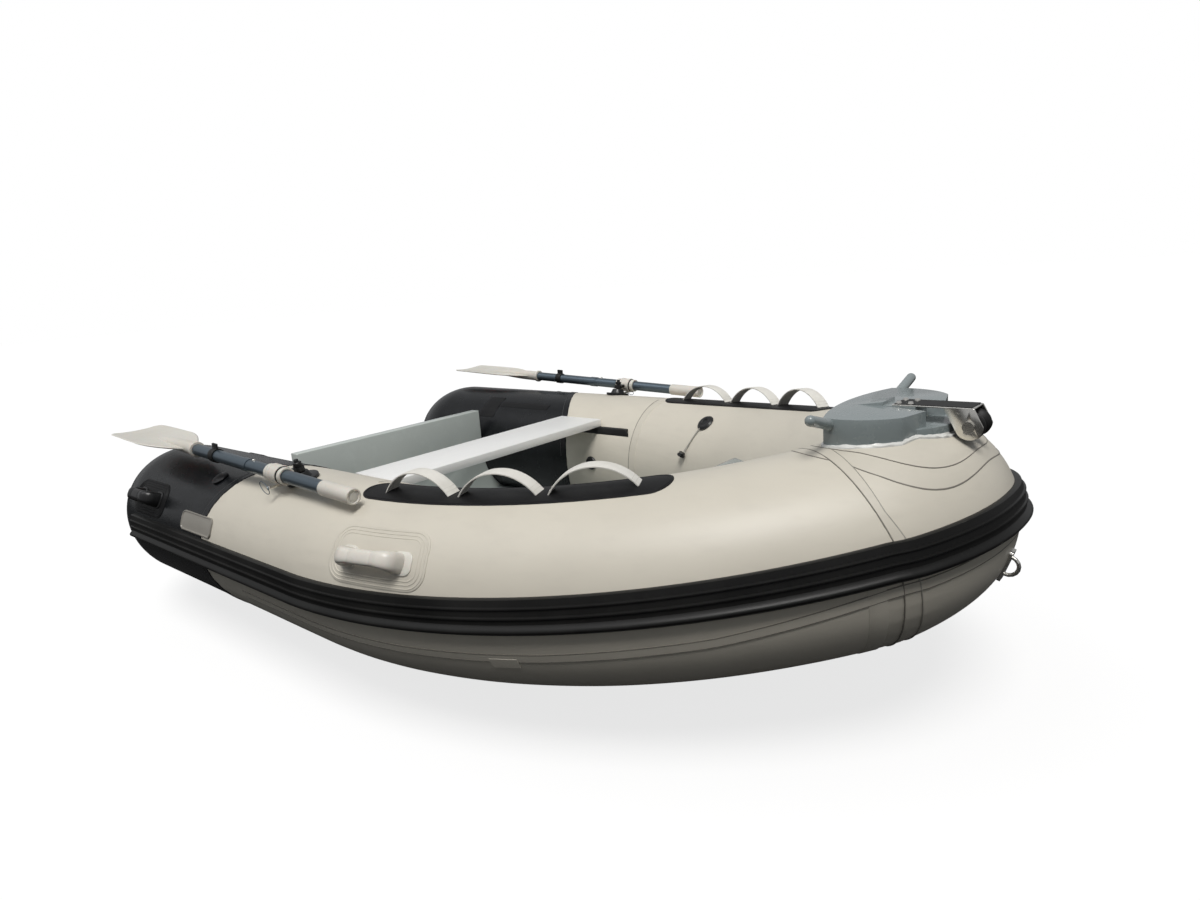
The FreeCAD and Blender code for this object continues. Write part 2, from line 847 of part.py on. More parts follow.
def bow_step():
    low = axis_height + bow_rise
    body = step_body(low, axis_height + step_top_rise)
    shelf = Part.makeBox(shelf_end - wedge_end, 2 * slot_start_half_width, axis_height + shelf_rise - low,
                         Vector(wedge_end, -slot_start_half_width, low))
    port = Vector(sill_shoulder, sill_half_width, 0)
    starboard = Vector(sill_shoulder, -sill_half_width, 0)
    sill_top = axis_height + sill_rise
    nose = Part.Arc(starboard, Vector(sill_front, 0, 0), port).toShape()
    sill = prism([nose, Part.makeLine(port, starboard)], low, sill_top)
    back = Part.makeBox(sill_shoulder - shelf_end, 2 * sill_half_width, sill_top - low,
                        Vector(shelf_end, -sill_half_width, low))
    plane = axis_height + step_top_rise
    ridge = [Vector(wedge_start, -wedge_half_width, plane), Vector(wedge_end, -wedge_half_width, plane),
             Vector(wedge_end, -wedge_half_width, axis_height + wedge_rise)]
    wedge = Part.Face(Part.makePolygon(ridge + ridge[:1])).extrude(Vector(0, 2 * wedge_half_width, 0))
    body = body.fuse([shelf, sill, back, wedge]).removeSplitter()
    return trim_to_tubes(body.translated(Vector(bow_x, 0, 0)))


def mooring_horns():
    """Round bars that slope up from both sides of the step for the mooring lines."""
    pieces = []
    step = step_body(axis_height, axis_height + step_top_rise)
    slope = math.radians(horn_slope)
    for side in SIDES.values():
        root = Vector(horn_station, side * step_half_width, axis_height + horn_rise)
        outward = Vector(0, side * math.cos(slope), math.sin(slope))
        tip = root + outward * horn_length
        arm = Part.makeCylinder(horn_radius, horn_length + horn_radius, tip, outward * -1)
        arm = arm.fuse(Part.makeSphere(horn_radius, tip)).removeSplitter().cut(step)
        pieces.append(max(arm.Solids, key=lambda solid: solid.Volume))
    return Part.makeCompound(pieces).translated(Vector(bow_x, 0, 0))


# Anchor roller
def roller_centre():
    return Vector(bow_x + roller_station, 0, axis_height + roller_rise)


def around_roller(radius, degrees):
    turn = math.radians(degrees)
    return roller_centre() + Vector(radius * math.cos(turn), 0, radius * math.sin(turn))


def roller_bracket():
    """Bent sheet over the roller with a round cheek down each side of it."""
    centre = roller_centre()
    inner = shelf_rise + seat_gap - roller_rise
    outer = inner + bracket_sheet
    end = 90 - bracket_wrap_angle
    half_wrap = 90 - bracket_wrap_angle / 2
    rear = bow_x + bracket_start - centre.x
    low_start = centre + Vector(rear, 0, inner)
    high_start = centre + Vector(rear, 0, outer)
    top = around_roller(outer, 90)
    lip = around_roller(outer, end)
    crown = Part.Arc(top, around_roller(outer, half_wrap), lip).toShape()
    under = around_roller(inner, 90)
    lining = Part.Arc(around_roller(inner, end), around_roller(inner, half_wrap), under).toShape()
    edges = [Part.makeLine(low_start, high_start), Part.makeLine(high_start, top), crown,
             Part.makeLine(lip, around_roller(inner, end)), lining,
             Part.makeLine(under, low_start)]
    sheet = Part.Face(Part.Wire(edges)).extrude(Vector(0, bracket_width, 0))
    body = sheet.translated(Vector(0, -bracket_width / 2, 0))
    tail = centre + Vector(-cheek_tail, 0, outer)
    heel = around_roller(cheek_radius, cheek_heel_angle)
    front = around_roller(cheek_radius, 0)
    edges = [Part.makeLine(tail, top), crown, Part.makeLine(lip, front),
             Part.Arc(front, around_roller(cheek_radius, -90), heel).toShape(), Part.makeLine(heel, tail)]
    face = Part.Face(Part.Wire(edges))
    for y in (-bracket_width / 2, bracket_width / 2 - bracket_sheet):
        body = body.fuse(face.extrude(Vector(0, bracket_sheet, 0)).translated(Vector(0, y, 0)))
    bore = Part.makeCylinder(axle_radius + seat_gap, bracket_width + 2 * overrun,
                             centre - Vector(0, bracket_width / 2 + overrun, 0), Vector(0, 1, 0))
    return body.cut(bore).removeSplitter()


def anchor_roller():
    """Rubber roller with two flared ends, a narrow waist and a bore for its axle."""
    half = roller_length / 2
    flare = roller_flare_radius
    waist = [Vector(flare, half - roller_rim, 0), Vector(roller_waist_radius, roller_waist_half, 0)]
    port = [Vector(0, half, 0), Vector(flare, half, 0)] + waist
    starboard = [Vector(point.x, -point.y, 0) for point in reversed(port)]
    outline = Part.makePolygon(port + starboard + port[:1])
    body = Part.Face(outline).revolve(Vector(0, 0, 0), Vector(0, 1, 0), 360)
    start = Vector(0, -half, 0)
    bore = Part.makeCylinder(axle_radius + axle_clearance, roller_length, start, Vector(0, 1, 0))
    return body.cut(bore).translated(roller_centre())


def roller_axle():
    centre = roller_centre()
    half = bracket_width / 2 + seat_gap
    rod = Part.makeCylinder(axle_radius, 2 * half, Vector(centre.x, -half, centre.z), Vector(0, 1, 0))
    for side in (STARBOARD, PORT):
        start = Vector(centre.x, side * half, centre.z)
        nut = Part.makeCylinder(axle_nut_radius, axle_nut_length, start, Vector(0, side, 0))
        rod = rod.fuse(nut)
    return rod.removeSplitter()


# Rowlocks and oars
def rowlock_frame(side):
    return Frame(rowlock_station, side)


def rowlock_base(side):
    """Welded pad with a raised block and the pin that the oar turns on."""
    top = Vector(0, 0, rowlock_base_height)
    pad = Part.makeCylinder(rowlock_base_radius, rowlock_base_height + foot_depth, Vector(0, 0, -foot_depth))
    block = Part.makeCone(rowlock_block_foot_radius, rowlock_block_radius, rowlock_block_height, top)
    pin = Part.makeCylinder(rowlock_pin_radius, rowlock_pin_length, top)
    body = place(pad.fuse([block, pin]), rowlock_frame(side), rowlock_angle, 0)
    return seat(body, side)


def oar_axis_point(side):
    """Centre of the collar, beside the rowlock pin."""
    angle = math.radians(oar_angle)
    return Vector(rowlock_station, side * (half_spacing + oar_reach * math.cos(angle)),
                  axis_height + oar_reach * math.sin(angle))


def put_oar(shape, side):
    """Oar pieces are modelled along X about the collar, blade towards -X."""
    moved = shape.copy()
    moved.rotate(Vector(0, 0, 0), Vector(0, 1, 0), oar_pitch)
    moved.translate(oar_axis_point(side))
    return moved


def rod(radius, first, last, hole=0.0):
    body = Part.makeCylinder(radius, last - first, Vector(first, 0, 0), Vector(1, 0, 0))
    if hole:
        body = body.cut(Part.makeCylinder(hole, last - first, Vector(first, 0, 0), Vector(1, 0, 0)))
    return body


def oar_shaft():
    body = rod(shaft_radius, -shaft_aft, shaft_forward)
    sleeve = rod(sleeve_radius, -shaft_joint - sleeve_length, -shaft_joint)
    return body.fuse(sleeve).removeSplitter()


def oar_collar():
    hole = shaft_radius + seat_gap
    body = rod(collar_waist_radius, -collar_half, collar_half, hole)
    for first in (-collar_half, collar_half - collar_flange_length):
        body = body.fuse(rod(collar_flange_radius, first, first + collar_flange_length, hole))
    return body.removeSplitter()


def oar_grip():
    last = shaft_forward + grip_length
    body = rod(grip_radius, shaft_forward + seat_gap, last)
    return body.cut(rod(grip_radius - grip_wall, last - grip_recess, last))


blade_neck_share = 0.24
blade_widest_share = 0.62
blade_tip_share = 0.86
blade_thinning_share = 0.4
blade_spans = 12


def blade_width_share(run):
    if run < blade_widest_share:
        return blade_neck_share + (1 - blade_neck_share) * math.sin(math.pi / 2 * run / blade_widest_share)
    return 1 - (1 - blade_tip_share) * ((run - blade_widest_share) / (1 - blade_widest_share)) ** 3


def oar_blade():
    """Cupped plastic blade with a tapering rib that runs on from the shaft."""
    start = -shaft_aft - blade_socket
    span = blade_length - blade_socket
    wires = []
    for run in spread(0.0, 1.0, blade_spans + 1):
        share = blade_width_share(run)
        x = start - span * run
        half = blade_half_width * share
        cup = blade_cup * share * share
        skin = Vector(0, 0, blade_thickness * (1 - blade_thinning_share * run))
        low = [Vector(x, -half, cup), Vector(x, 0, -blade_thickness / 2), Vector(x, half, cup)]
        high = [point + skin for point in low]
        edges = [Part.makeLine(low[2], high[2]), bulge(*reversed(high)), Part.makeLine(high[0], low[0])]
        wires.append(Part.Wire([bulge(*low)] + edges))
    socket = rod(blade_rib_radius, start, -shaft_aft - seat_gap)
    root = Vector(start, 0, 0)
    rib = Part.makeCone(blade_rib_radius, blade_thickness / 2, span / 2, root, Vector(-1, 0, 0))
    return ruled(wires).fuse([socket, rib]).removeSplitter()


def rowlock_yoke(side):
    """Arm that turns on the rowlock pin and clasps the oar's collar."""
    frame = rowlock_frame(side)
    normal = frame.normal(rowlock_angle)
    foot = frame.point(rowlock_angle, rowlock_base_height + rowlock_block_height + yoke_gap)
    hub = Part.makeCylinder(yoke_radius, yoke_height, foot, normal)
    middle = foot + normal * (yoke_height / 2)
    across = oar_axis_point(side) - middle
    corner = Vector(-yoke_arm / 2, -yoke_arm_height / 2, 0)
    beam = Part.makeBox(yoke_arm, yoke_arm_height, across.Length, corner)
    beam.Placement = FreeCAD.Placement(middle, FreeCAD.Rotation(Vector(0, 0, 1), across))
    reach = collar_half - collar_flange_length - yoke_play
    clasp = put_oar(rod(collar_waist_radius + yoke_wall, -reach, reach), side)
    collar = put_oar(rod(collar_waist_radius + seat_gap, -collar_half, collar_half), side)
    bore = Part.makeCylinder(rowlock_pin_radius + rowlock_pin_clearance, yoke_height, foot, normal)
    return hub.fuse([beam, clasp]).cut(collar.fuse(bore)).removeSplitter()


def oar_strap():
    """Band on the shaft above the keeper, with a fold that stands up where its ends meet."""
    inner = shaft_radius + seat_gap
    outer = inner + strap_thickness
    first = -strap_offset - strap_width / 2
    corner = Vector(first, -strap_thickness, outer - strap_thickness / 2)
    fold = Part.makeBox(strap_width, 2 * strap_thickness, strap_fold, corner)
    band = rod(outer, first, first + strap_width, inner)
    return band.fuse(fold).removeSplitter()


def strap_keeper(side):
    pad = Part.makeCylinder(keeper_radius, keeper_height + foot_depth, Vector(0, 0, -foot_depth))
    return seat(place(pad, Frame(rowlock_station - strap_offset, side), keeper_angle, 0), side)


# Valves and bow eye
def valve(side, station, degrees, radius):
    """Round valve seat with a well in its middle."""
    body = Part.makeCylinder(radius, valve_height + foot_depth, Vector(0, 0, -foot_depth))
    well_floor = Vector(0, 0, valve_height - valve_well_depth)
    well = Part.makeCylinder(radius - valve_rim, valve_well_depth, well_floor)
    return seat(place(body.cut(well), Frame(station, side), degrees, 0), side)


def valves():
    pieces = []
    for side in SIDES.values():
        pieces.append(valve(side, valve_station, valve_angle, valve_radius))
        pieces.append(valve(side, low_valve_station, low_valve_angle, low_valve_radius))
    return Part.makeCompound(pieces)


def bow_eye():
    """Towing eye low on the front of the bow, its plate trimmed to the tube."""
    foot = rounded_plate(tow_eye_plate + 2 * bow_eye_radius, tow_eye_plate, foot_depth, tow_eye_corner)
    eye = eye_on_plate(bow_eye_radius).fuse(foot.translated(Vector(0, 0, -foot_depth))).removeSplitter()
    eye.rotate(Vector(0, 0, 0), Vector(0, 0, 1), 90)
    return trim_to_tubes(place(eye, Frame(bow_station, PORT, True), bow_eye_angle, 0))


def both(make):
    return Part.makeCompound([make(side) for side in SIDES.values()])


bow_end = strake_section(Frame(bow_station, PORT, True), strake_top_angle_bow).BoundBox.XMax
middle = (bow_end - cone_length) / 2

nodes = {}
nodes["hull_shell"] = hull_shell()
nodes["deck"] = deck()
nodes["bow_locker"] = bow_locker()
nodes["keel_band"] = keel_band()
nodes["transom"] = transom()
nodes["motor_pad"] = motor_pad(transom_station - transom_thickness - 2 * seat_gap - motor_pad_thickness)
nodes["drain_bush"] = drain_bush()
nodes["tow_eyes"] = tow_eyes()
nodes["thwart"] = thwart()
nodes["thwart_rails"] = thwart_rails()
nodes["tube_bow"] = bow_tube()
nodes["strake_bow"] = strake_bow()
nodes["bow_step"] = bow_step()
nodes["mooring_horns"] = mooring_horns()
nodes["roller_bracket"] = roller_bracket()
nodes["anchor_roller"] = anchor_roller()
nodes["roller_axle"] = roller_axle()
nodes["bow_eye"] = bow_eye()
nodes["grab_patches"] = grab_patches()
nodes["grab_handles"] = grab_handles()
nodes["handle_patches"] = handle_patches()
nodes["lift_handles"] = handles(lift_station, lift_angle, lift_length)
nodes["stern_handles"] = handles(stern_handle_station, stern_handle_angle, stern_handle_length)
nodes["side_plates"] = side_plates()
nodes["rowlock_bases"] = both(rowlock_base)
nodes["strap_keepers"] = both(strap_keeper)
nodes["valves"] = valves()
for name, side in SIDES.items():
    nodes["tube_stern_" + name] = tube_stern(side)
    nodes["tube_side_" + name] = tube_side(side)
    nodes["strake_" + name] = strake_side(side)
    nodes["rowlock_yoke_" + name] = rowlock_yoke(side)
    nodes["oar_shaft_" + name] = put_oar(oar_shaft(), side)
    nodes["oar_collar_" + name] = put_oar(oar_collar(), side)
    nodes["oar_grip_" + name] = put_oar(oar_grip(), side)
    nodes["oar_blade_" + name] = put_oar(oar_blade(), side)
    nodes["oar_strap_" + name] = put_oar(oar_strap(), side)

os.makedirs("parts", exist_ok=True)
for name, shape in nodes.items():
    shape.translate(Vector(-middle, 0, 0))
    shape.exportStep("parts/" + name + ".step")
    print(name, len(shape.Solids), round(shape.Volume), shape.isValid())
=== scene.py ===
# %% [markdown]
# # A rigid inflatable tender, dressed over its measured solids
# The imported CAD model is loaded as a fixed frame, in metres: X towards the bow, Y to port, Z up.
# Everything below is either a finish for one of its solids or a modelled piece that lies where
# the CAD says. Each step is told first, then made in a short cell that prints what it made.

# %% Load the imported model
import math

import bmesh
import bpy
from mathutils import Matrix, Vector, noise
from mathutils.bvhtree import BVHTree


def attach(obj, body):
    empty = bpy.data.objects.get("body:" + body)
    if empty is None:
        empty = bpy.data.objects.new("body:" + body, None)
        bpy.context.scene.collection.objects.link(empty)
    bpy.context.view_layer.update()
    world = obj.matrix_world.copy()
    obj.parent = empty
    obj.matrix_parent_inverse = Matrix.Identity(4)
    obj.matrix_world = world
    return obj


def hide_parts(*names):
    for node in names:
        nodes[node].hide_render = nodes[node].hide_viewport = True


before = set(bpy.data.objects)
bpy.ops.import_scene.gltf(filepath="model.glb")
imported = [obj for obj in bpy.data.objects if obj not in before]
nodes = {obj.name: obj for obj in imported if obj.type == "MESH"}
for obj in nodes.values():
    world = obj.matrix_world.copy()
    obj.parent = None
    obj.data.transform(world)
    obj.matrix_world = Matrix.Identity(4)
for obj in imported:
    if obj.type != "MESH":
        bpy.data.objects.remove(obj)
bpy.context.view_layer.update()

# %% [markdown]
# ## Camera, floor and light
# The camera comes first, because every detail is judged from it. Its place and turn were found by
# matching known points of the boat, such as seat corners and handle feet, to the picture. A camera
# object looks along its own -Z, so its matrix is written from the three directions directly.

# %% Camera
picture_width = 1200
sensor = 36.0
focal_pixels = 778.66
yaw, pitch, roll = 2.2927, 0.22823, -0.07765
camera_place = Vector((1.64829, -1.61322, 1.00209))

ahead = Vector((math.cos(yaw) * math.cos(pitch), math.sin(yaw) * math.cos(pitch), -math.sin(pitch)))
level_right = ahead.cross(Vector((0, 0, 1))).normalized()
level_up = level_right.cross(ahead)
right = level_right * math.cos(roll) + level_up * math.sin(roll)
upward = level_up * math.cos(roll) - level_right * math.sin(roll)

camera_data = bpy.data.cameras.new("camera")
camera_data.sensor_width = sensor
camera_data.lens = sensor * focal_pixels / picture_width
camera_data.clip_start = 0.05
camera = bpy.data.objects.new("camera", camera_data)
bpy.context.scene.collection.objects.link(camera)
turned = Matrix((right, upward, -ahead)).transposed().to_4x4()
camera.matrix_world = Matrix.Translation(camera_place) @ turned
bpy.context.scene.camera = camera
print("lens", round(camera_data.lens, 2), "mm")

# %% [markdown]
# The background is a white world that the camera sees, and that gloss sees in part; the light that
# falls on the boat from it is weaker, so pale fabric keeps its colour. A wide lamp high over the
# starboard bow gives the soft gradient over the round tubes and leaves their undersides dark, as in
# the picture, and a weaker one from the starboard quarter lifts the faces that look aft.

# %% World and lamps
world = bpy.data.worlds.new("studio")
bpy.context.scene.world = world
world.use_nodes = True
world_tree = world.node_tree
world_tree.nodes.clear()
white_strength = 1.0
sky_strength = 0.25
gloss_share = 0.22
seen = world_tree.nodes.new("ShaderNodeBackground")
seen.inputs["Color"].default_value = (1, 1, 1, 1)
seen.inputs["Strength"].default_value = white_strength
lit = world_tree.nodes.new("ShaderNodeBackground")
lit.inputs["Color"].default_value = (0.93, 0.96, 1.0, 1)
lit.inputs["Strength"].default_value = sky_strength
rays = world_tree.nodes.new("ShaderNodeLightPath")
chosen = world_tree.nodes.new("ShaderNodeMixShader")
world_out = world_tree.nodes.new("ShaderNodeOutputWorld")
any_ray = world_tree.nodes.new("ShaderNodeMath")
any_ray.operation = "MAXIMUM"
shiny_ray = world_tree.nodes.new("ShaderNodeMath")
shiny_ray.operation = "MULTIPLY_ADD"
world_tree.links.new(rays.outputs["Is Glossy Ray"], shiny_ray.inputs[0])
shiny_ray.inputs[1].default_value = gloss_share
world_tree.links.new(rays.outputs["Is Transmission Ray"], shiny_ray.inputs[2])
world_tree.links.new(rays.outputs["Is Camera Ray"], any_ray.inputs[0])
world_tree.links.new(shiny_ray.outputs[0], any_ray.inputs[1])
world_tree.links.new(any_ray.outputs[0], chosen.inputs["Fac"])
world_tree.links.new(lit.outputs[0], chosen.inputs[1])
world_tree.links.new(seen.outputs[0], chosen.inputs[2])
world_tree.links.new(chosen.outputs[0], world_out.inputs["Surface"])


def sun(name, towards, strength, spread_angle, colour=(1, 1, 1)):
    """A broad sun: it lights the whole floor evenly, with soft shadows."""
    data = bpy.data.lights.new(name, "SUN")
    data.energy = strength
    data.angle = math.radians(spread_angle)
    data.color = colour
    made = bpy.data.objects.new(name, data)
    made.rotation_mode = "QUATERNION"
    made.rotation_quaternion = Vector(towards).to_track_quat("-Z", "Y")
    bpy.context.scene.collection.objects.link(made)


sun("key_sun", (-0.34, 0.46, -1.15), 2.45, 26, (1.0, 0.985, 0.965))
sun("rim_sun", (0.45, 0.50, -0.9), 0.50, 40, (0.96, 0.97, 1.0))
print("lamps ready")

# %% [markdown]
# ## Finishes
# A finish is a material built from nodes. Shader sums read best as plain arithmetic, so one small
# class wraps a socket and turns + - * into Math nodes, and another holds the material and adds any
# node by its type, with short forms for the noise, ramp, blend and bump that nearly all of them use.

# %% Shader arithmetic
class Wire:
    """An output socket that can be used in arithmetic."""

    def __init__(self, finish, socket):
        self.finish = finish
        self.socket = socket

    def maths(self, operation, first, second):
        return self.finish.node("ShaderNodeMath", {"operation": operation}, {0: first, 1: second})

    def __add__(self, other):
        return self.maths("ADD", self, other)

    def __radd__(self, other):
        return self.maths("ADD", other, self)

    def __sub__(self, other):
        return self.maths("SUBTRACT", self, other)

    def __rsub__(self, other):
        return self.maths("SUBTRACT", other, self)

    def __mul__(self, other):
        return self.maths("MULTIPLY", self, other)

    def __rmul__(self, other):
        return self.maths("MULTIPLY", other, self)


class Finish:
    """A Principled material under construction."""

    def __init__(self, name, roughness, metallic=0.0, **constants):
        self.material = bpy.data.materials.new(name)
        self.material.use_nodes = True
        self.tree = self.material.node_tree
        self.shader = self.tree.nodes["Principled BSDF"]
        self.shader.inputs["Roughness"].default_value = roughness
        self.shader.inputs["Metallic"].default_value = metallic
        for key, value in constants.items():
            self.shader.inputs[key.replace("_", " ")].default_value = value

    def node(self, kind, settings=None, sockets=None, output=0):
        made = self.tree.nodes.new(kind)
        for key, value in (settings or {}).items():
            if key == "stops":
                self.set_stops(made.color_ramp, value)
            else:
                setattr(made, key, value)
        for key, value in (sockets or {}).items():
            if isinstance(value, Wire):
                self.tree.links.new(value.socket, made.inputs[key])
            else:
                made.inputs[key].default_value = value
        return Wire(self, made.outputs[output])

    def set_stops(self, ramp, stops):
        while len(ramp.elements) < len(stops):
            ramp.elements.new(0.5)
        for element, (position, colour) in zip(ramp.elements, stops):
            element.position = position
            element.color = colour

    def place(self, scale=(1, 1, 1), uv=False):
        """Object or UV coordinates, scaled."""
        source = self.node("ShaderNodeTexCoord", output="UV" if uv else "Object")
        return self.node("ShaderNodeMapping", {}, {"Vector": source, "Scale": scale})

    def cloud(self, scale, detail=3.0, at=None, rough=0.5):
        sockets = {"Scale": scale, "Detail": detail, "Roughness": rough}
        if at is not None:
            sockets["Vector"] = at
        else:
            sockets["Vector"] = self.place()
        return self.node("ShaderNodeTexNoise", {}, sockets)

    def ramp(self, value, *stops):
        greys = [(at, (level, level, level, 1)) for at, level in stops]
        return self.node("ShaderNodeValToRGB", {"stops": greys}, {"Fac": value})

    def blend(self, factor, first, second):
        made = self.tree.nodes.new("ShaderNodeMix")
        made.data_type = "RGBA"
        made.clamp_factor = True
        entries = [made.inputs[i] for i in (0, 6, 7)]
        for socket, value in zip(entries, (factor, first, second)):
            if isinstance(value, Wire):
                self.tree.links.new(value.socket, socket)
            else:
                socket.default_value = value
        return Wire(self, made.outputs[2])

    def feed(self, socket, value):
        self.tree.links.new(value.socket, self.shader.inputs[socket])

    def bump(self, height, distance, strength=1.0, under=None):
        sockets = {"Height": height, "Distance": distance, "Strength": strength}
        if under is not None:
            sockets["Normal"] = under
        made = self.node("ShaderNodeBump", {}, sockets)
        self.feed("Normal", made)
        return made


def shade(colour, factor):
    return tuple(min(1.0, part * factor) for part in colour[:3]) + (1,)


print("arithmetic ready")

# %% [markdown]
# Coated boat fabric is a woven cloth under a rubbery skin. The weave only just shows through as a
# fine grid, the colour is even with faint dusty clouds, and handling leaves small dull scuffs. The
# grid is waves on object coordinates along all three axes, because it must not depend on UVs.

# %% Coated fabric
weave_pitch = 420.0


def threads(finish, direction):
    """Fine parallel waves along one axis."""
    return finish.node("ShaderNodeTexWave", {"bands_direction": direction},
                       {"Vector": finish.place(), "Scale": weave_pitch})


def coated_fabric(name, colour, dust, roughness, shine=0.42, sheen=0.06):
    made = Finish(name, roughness, Specular_IOR_Level=shine, Sheen_Weight=sheen, Sheen_Roughness=0.5)
    along = threads(made, "X")
    upright = threads(made, "Z")
    across = threads(made, "Y")
    clouds = made.cloud(3.2, 4.0)
    streaks = made.cloud(14.0, 5.0, made.place((1, 1, 4)))
    scuffs = made.ramp(made.cloud(38.0, 6.0, rough=0.7), (0.60, 0.0), (0.72, 1.0))
    patches = made.ramp(clouds, (0.35, 0.0), (0.70, 1.0))
    tint = made.blend(patches, shade(colour, 0.955), shade(colour, 1.02))
    tint = made.blend(made.ramp(streaks, (0.50, 0.0), (0.80, 0.30)), tint, dust)
    tint = made.blend(scuffs * 0.10, tint, dust)
    made.feed("Base Color", tint)
    made.feed("Roughness", roughness - 0.05 + clouds * 0.10 + scuffs * 0.10)
    creases = made.bump(made.cloud(9.0, 2.0), 0.0012, 0.35)
    made.bump((along + upright + across) * 0.333, 0.00012, 0.35, creases)
    return made.material


pale_fabric = coated_fabric("pale_fabric", (0.610, 0.572, 0.488, 1), (0.51, 0.475, 0.41, 1), 0.40)
pale_tape = coated_fabric("pale_tape", (0.580, 0.544, 0.465, 1), (0.46, 0.43, 0.37, 1), 0.46)
black_fabric = coated_fabric("black_fabric", (0.0045, 0.0052, 0.0062, 1), (0.020, 0.022, 0.025, 1), 0.25,
                             shine=0.26, sheen=0.0)
black_patch = coated_fabric("black_patch", (0.007, 0.007, 0.0075, 1), (0.030, 0.030, 0.029, 1), 0.50,
                            shine=0.16, sheen=0.0)
print("fabrics ready")

# %% [markdown]
# Strake rubber and roller rubber are moulded: almost black, a little dusty in the grooves, with a
# satin face. The dust is a slow noise that lightens the colour and raises the roughness together.

# %% Rubber and plastics
def moulded(name, colour, dust, roughness, grain=900.0, grain_depth=0.00008, wear=0.25, **constants):
    made = Finish(name, roughness, **constants)
    clouds = made.cloud(6.0, 5.0)
    specks = made.ramp(made.cloud(120.0, 3.0), (0.58, 0.0), (0.75, 1.0))
    haze = made.ramp(clouds, (0.40, 0.0), (0.75, 1.0))
    tint = made.blend(haze * wear, colour, dust)
    tint = made.blend(specks * (wear * 0.5), tint, dust)
    made.feed("Base Color", tint)
    made.feed("Roughness", roughness - 0.04 + haze * 0.10 + specks * 0.06)
    made.bump(made.cloud(grain, 2.0), grain_depth, 0.5)
    return made.material


strake_rubber = moulded("strake_rubber", (0.0075, 0.0075, 0.0073, 1), (0.036, 0.035, 0.033, 1), 0.42, 500.0,
                        Specular_IOR_Level=0.20)
black_rubber = moulded("black_rubber", (0.010, 0.010, 0.010, 1), (0.045, 0.045, 0.042, 1), 0.55, 700.0,
                       Specular_IOR_Level=0.28)
black_plastic = moulded("black_plastic", (0.007, 0.007, 0.0075, 1), (0.035, 0.035, 0.035, 1), 0.33,
                        Specular_IOR_Level=0.36)
white_plastic = moulded("white_plastic", (0.66, 0.63, 0.57, 1), (0.46, 0.42, 0.35, 1), 0.38, wear=0.35,
                        Subsurface_Weight=0.04)
patch_grey = moulded("patch_grey", (0.36, 0.345, 0.305, 1), (0.24, 0.23, 0.20, 1), 0.44)
plate_grey = moulded("plate_grey", (0.270, 0.255, 0.225, 1), (0.16, 0.15, 0.13, 1), 0.34)
print("rubbers and plastics ready")

# %% [markdown]
# The hull, deck, transom and bow step are moulded glass fibre with a coloured gelcoat: glossy, with
# a faint orange-peel ripple, and rubbed duller where feet and lines go. The coat layer gives the
# wet-looking highlight without making the colour itself shine.

# %% Gelcoat
def gelcoat(name, colour, roughness, tread=False, rub=0.16):
    made = Finish(name, roughness, Coat_Roughness=0.12, Coat_IOR=1.5)
    clouds = made.cloud(2.4, 5.0)
    rubbed = made.ramp(made.cloud(22.0, 6.0, rough=0.68), (0.52, 0.0), (0.70, 1.0))
    tint = made.blend(clouds, shade(colour, 0.93), shade(colour, 1.06))
    tint = made.blend(rubbed * rub, tint, shade(colour, 1.28))
    made.feed("Base Color", tint)
    made.feed("Roughness", roughness + rubbed * 0.18)
    made.feed("Coat Weight", 0.55 - rubbed * 0.35)
    ripple = made.bump(made.cloud(34.0, 1.0), 0.0004, 0.16)
    if tread:
        first = made.node("ShaderNodeTexWave", {"bands_direction": "DIAGONAL"},
                          {"Vector": made.place((1, 1, 0)), "Scale": 18.0})
        second = made.node("ShaderNodeTexWave", {"bands_direction": "DIAGONAL"},
                           {"Vector": made.place((-1, 1, 0)), "Scale": 18.0})
        studs = made.ramp(first * second, (0.30, 0.0), (0.55, 1.0))
        made.bump(studs, 0.0009, 0.8, ripple)
    return made.material


hull_grey = gelcoat("hull_grey", (0.300, 0.330, 0.325, 1), 0.34)
deck_grey = gelcoat("deck_grey", (0.285, 0.315, 0.312, 1), 0.42, tread=True)
step_grey = gelcoat("step_grey", (0.230, 0.265, 0.268, 1), 0.24, rub=0.07)
transom_grey = gelcoat("transom_grey", (0.500, 0.540, 0.512, 1), 0.34)
print("gelcoats ready")

# %% [markdown]
# Metals differ by how they were worked: the plank is brushed along its length, the oar tubes are
# anodised dark and drawn along X, and the bow fittings are polished sheet. All use one recipe: a
# noise stretched along the grain, fed to roughness, colour and a shallow bump.

# %% Metals
def worked_metal(name, colour, roughness, grain, metallic=1.0, depth=0.00006, tarnish=0.25):
    made = Finish(name, roughness, metallic)
    lines = made.cloud(1.0, 4.0, made.place(grain), 0.6)
    clouds = made.cloud(9.0, 5.0)
    marks = made.ramp(made.cloud(55.0, 6.0, rough=0.7), (0.58, 0.0), (0.70, 1.0))
    tint = made.blend(lines, shade(colour, 0.88), shade(colour, 1.08))
    tint = made.blend(clouds * tarnish, tint, shade(colour, 0.62))
    made.feed("Base Color", tint)
    made.feed("Roughness", roughness - 0.05 + lines * 0.14 + marks * 0.14)
    made.bump(lines, depth, 0.4)
    return made.material


plank_alloy = worked_metal("plank_alloy", (0.93, 0.93, 0.91, 1), 0.40, (900, 14, 900), 0.25, tarnish=0.06)
oar_alloy = worked_metal("oar_alloy", (0.120, 0.155, 0.185, 1), 0.30, (10, 800, 800), 0.75)
stainless = worked_metal("stainless", (0.82, 0.80, 0.75, 1), 0.20, (60, 400, 900))
print("metals ready")

# %% [markdown]
# Webbing is woven flat in a twill, so its ribs lean. The strap pieces carry their own UV map in
# metres, u along the strap and v across it, and the pattern reads that map so that it bends with
# the strap instead of running straight through it.

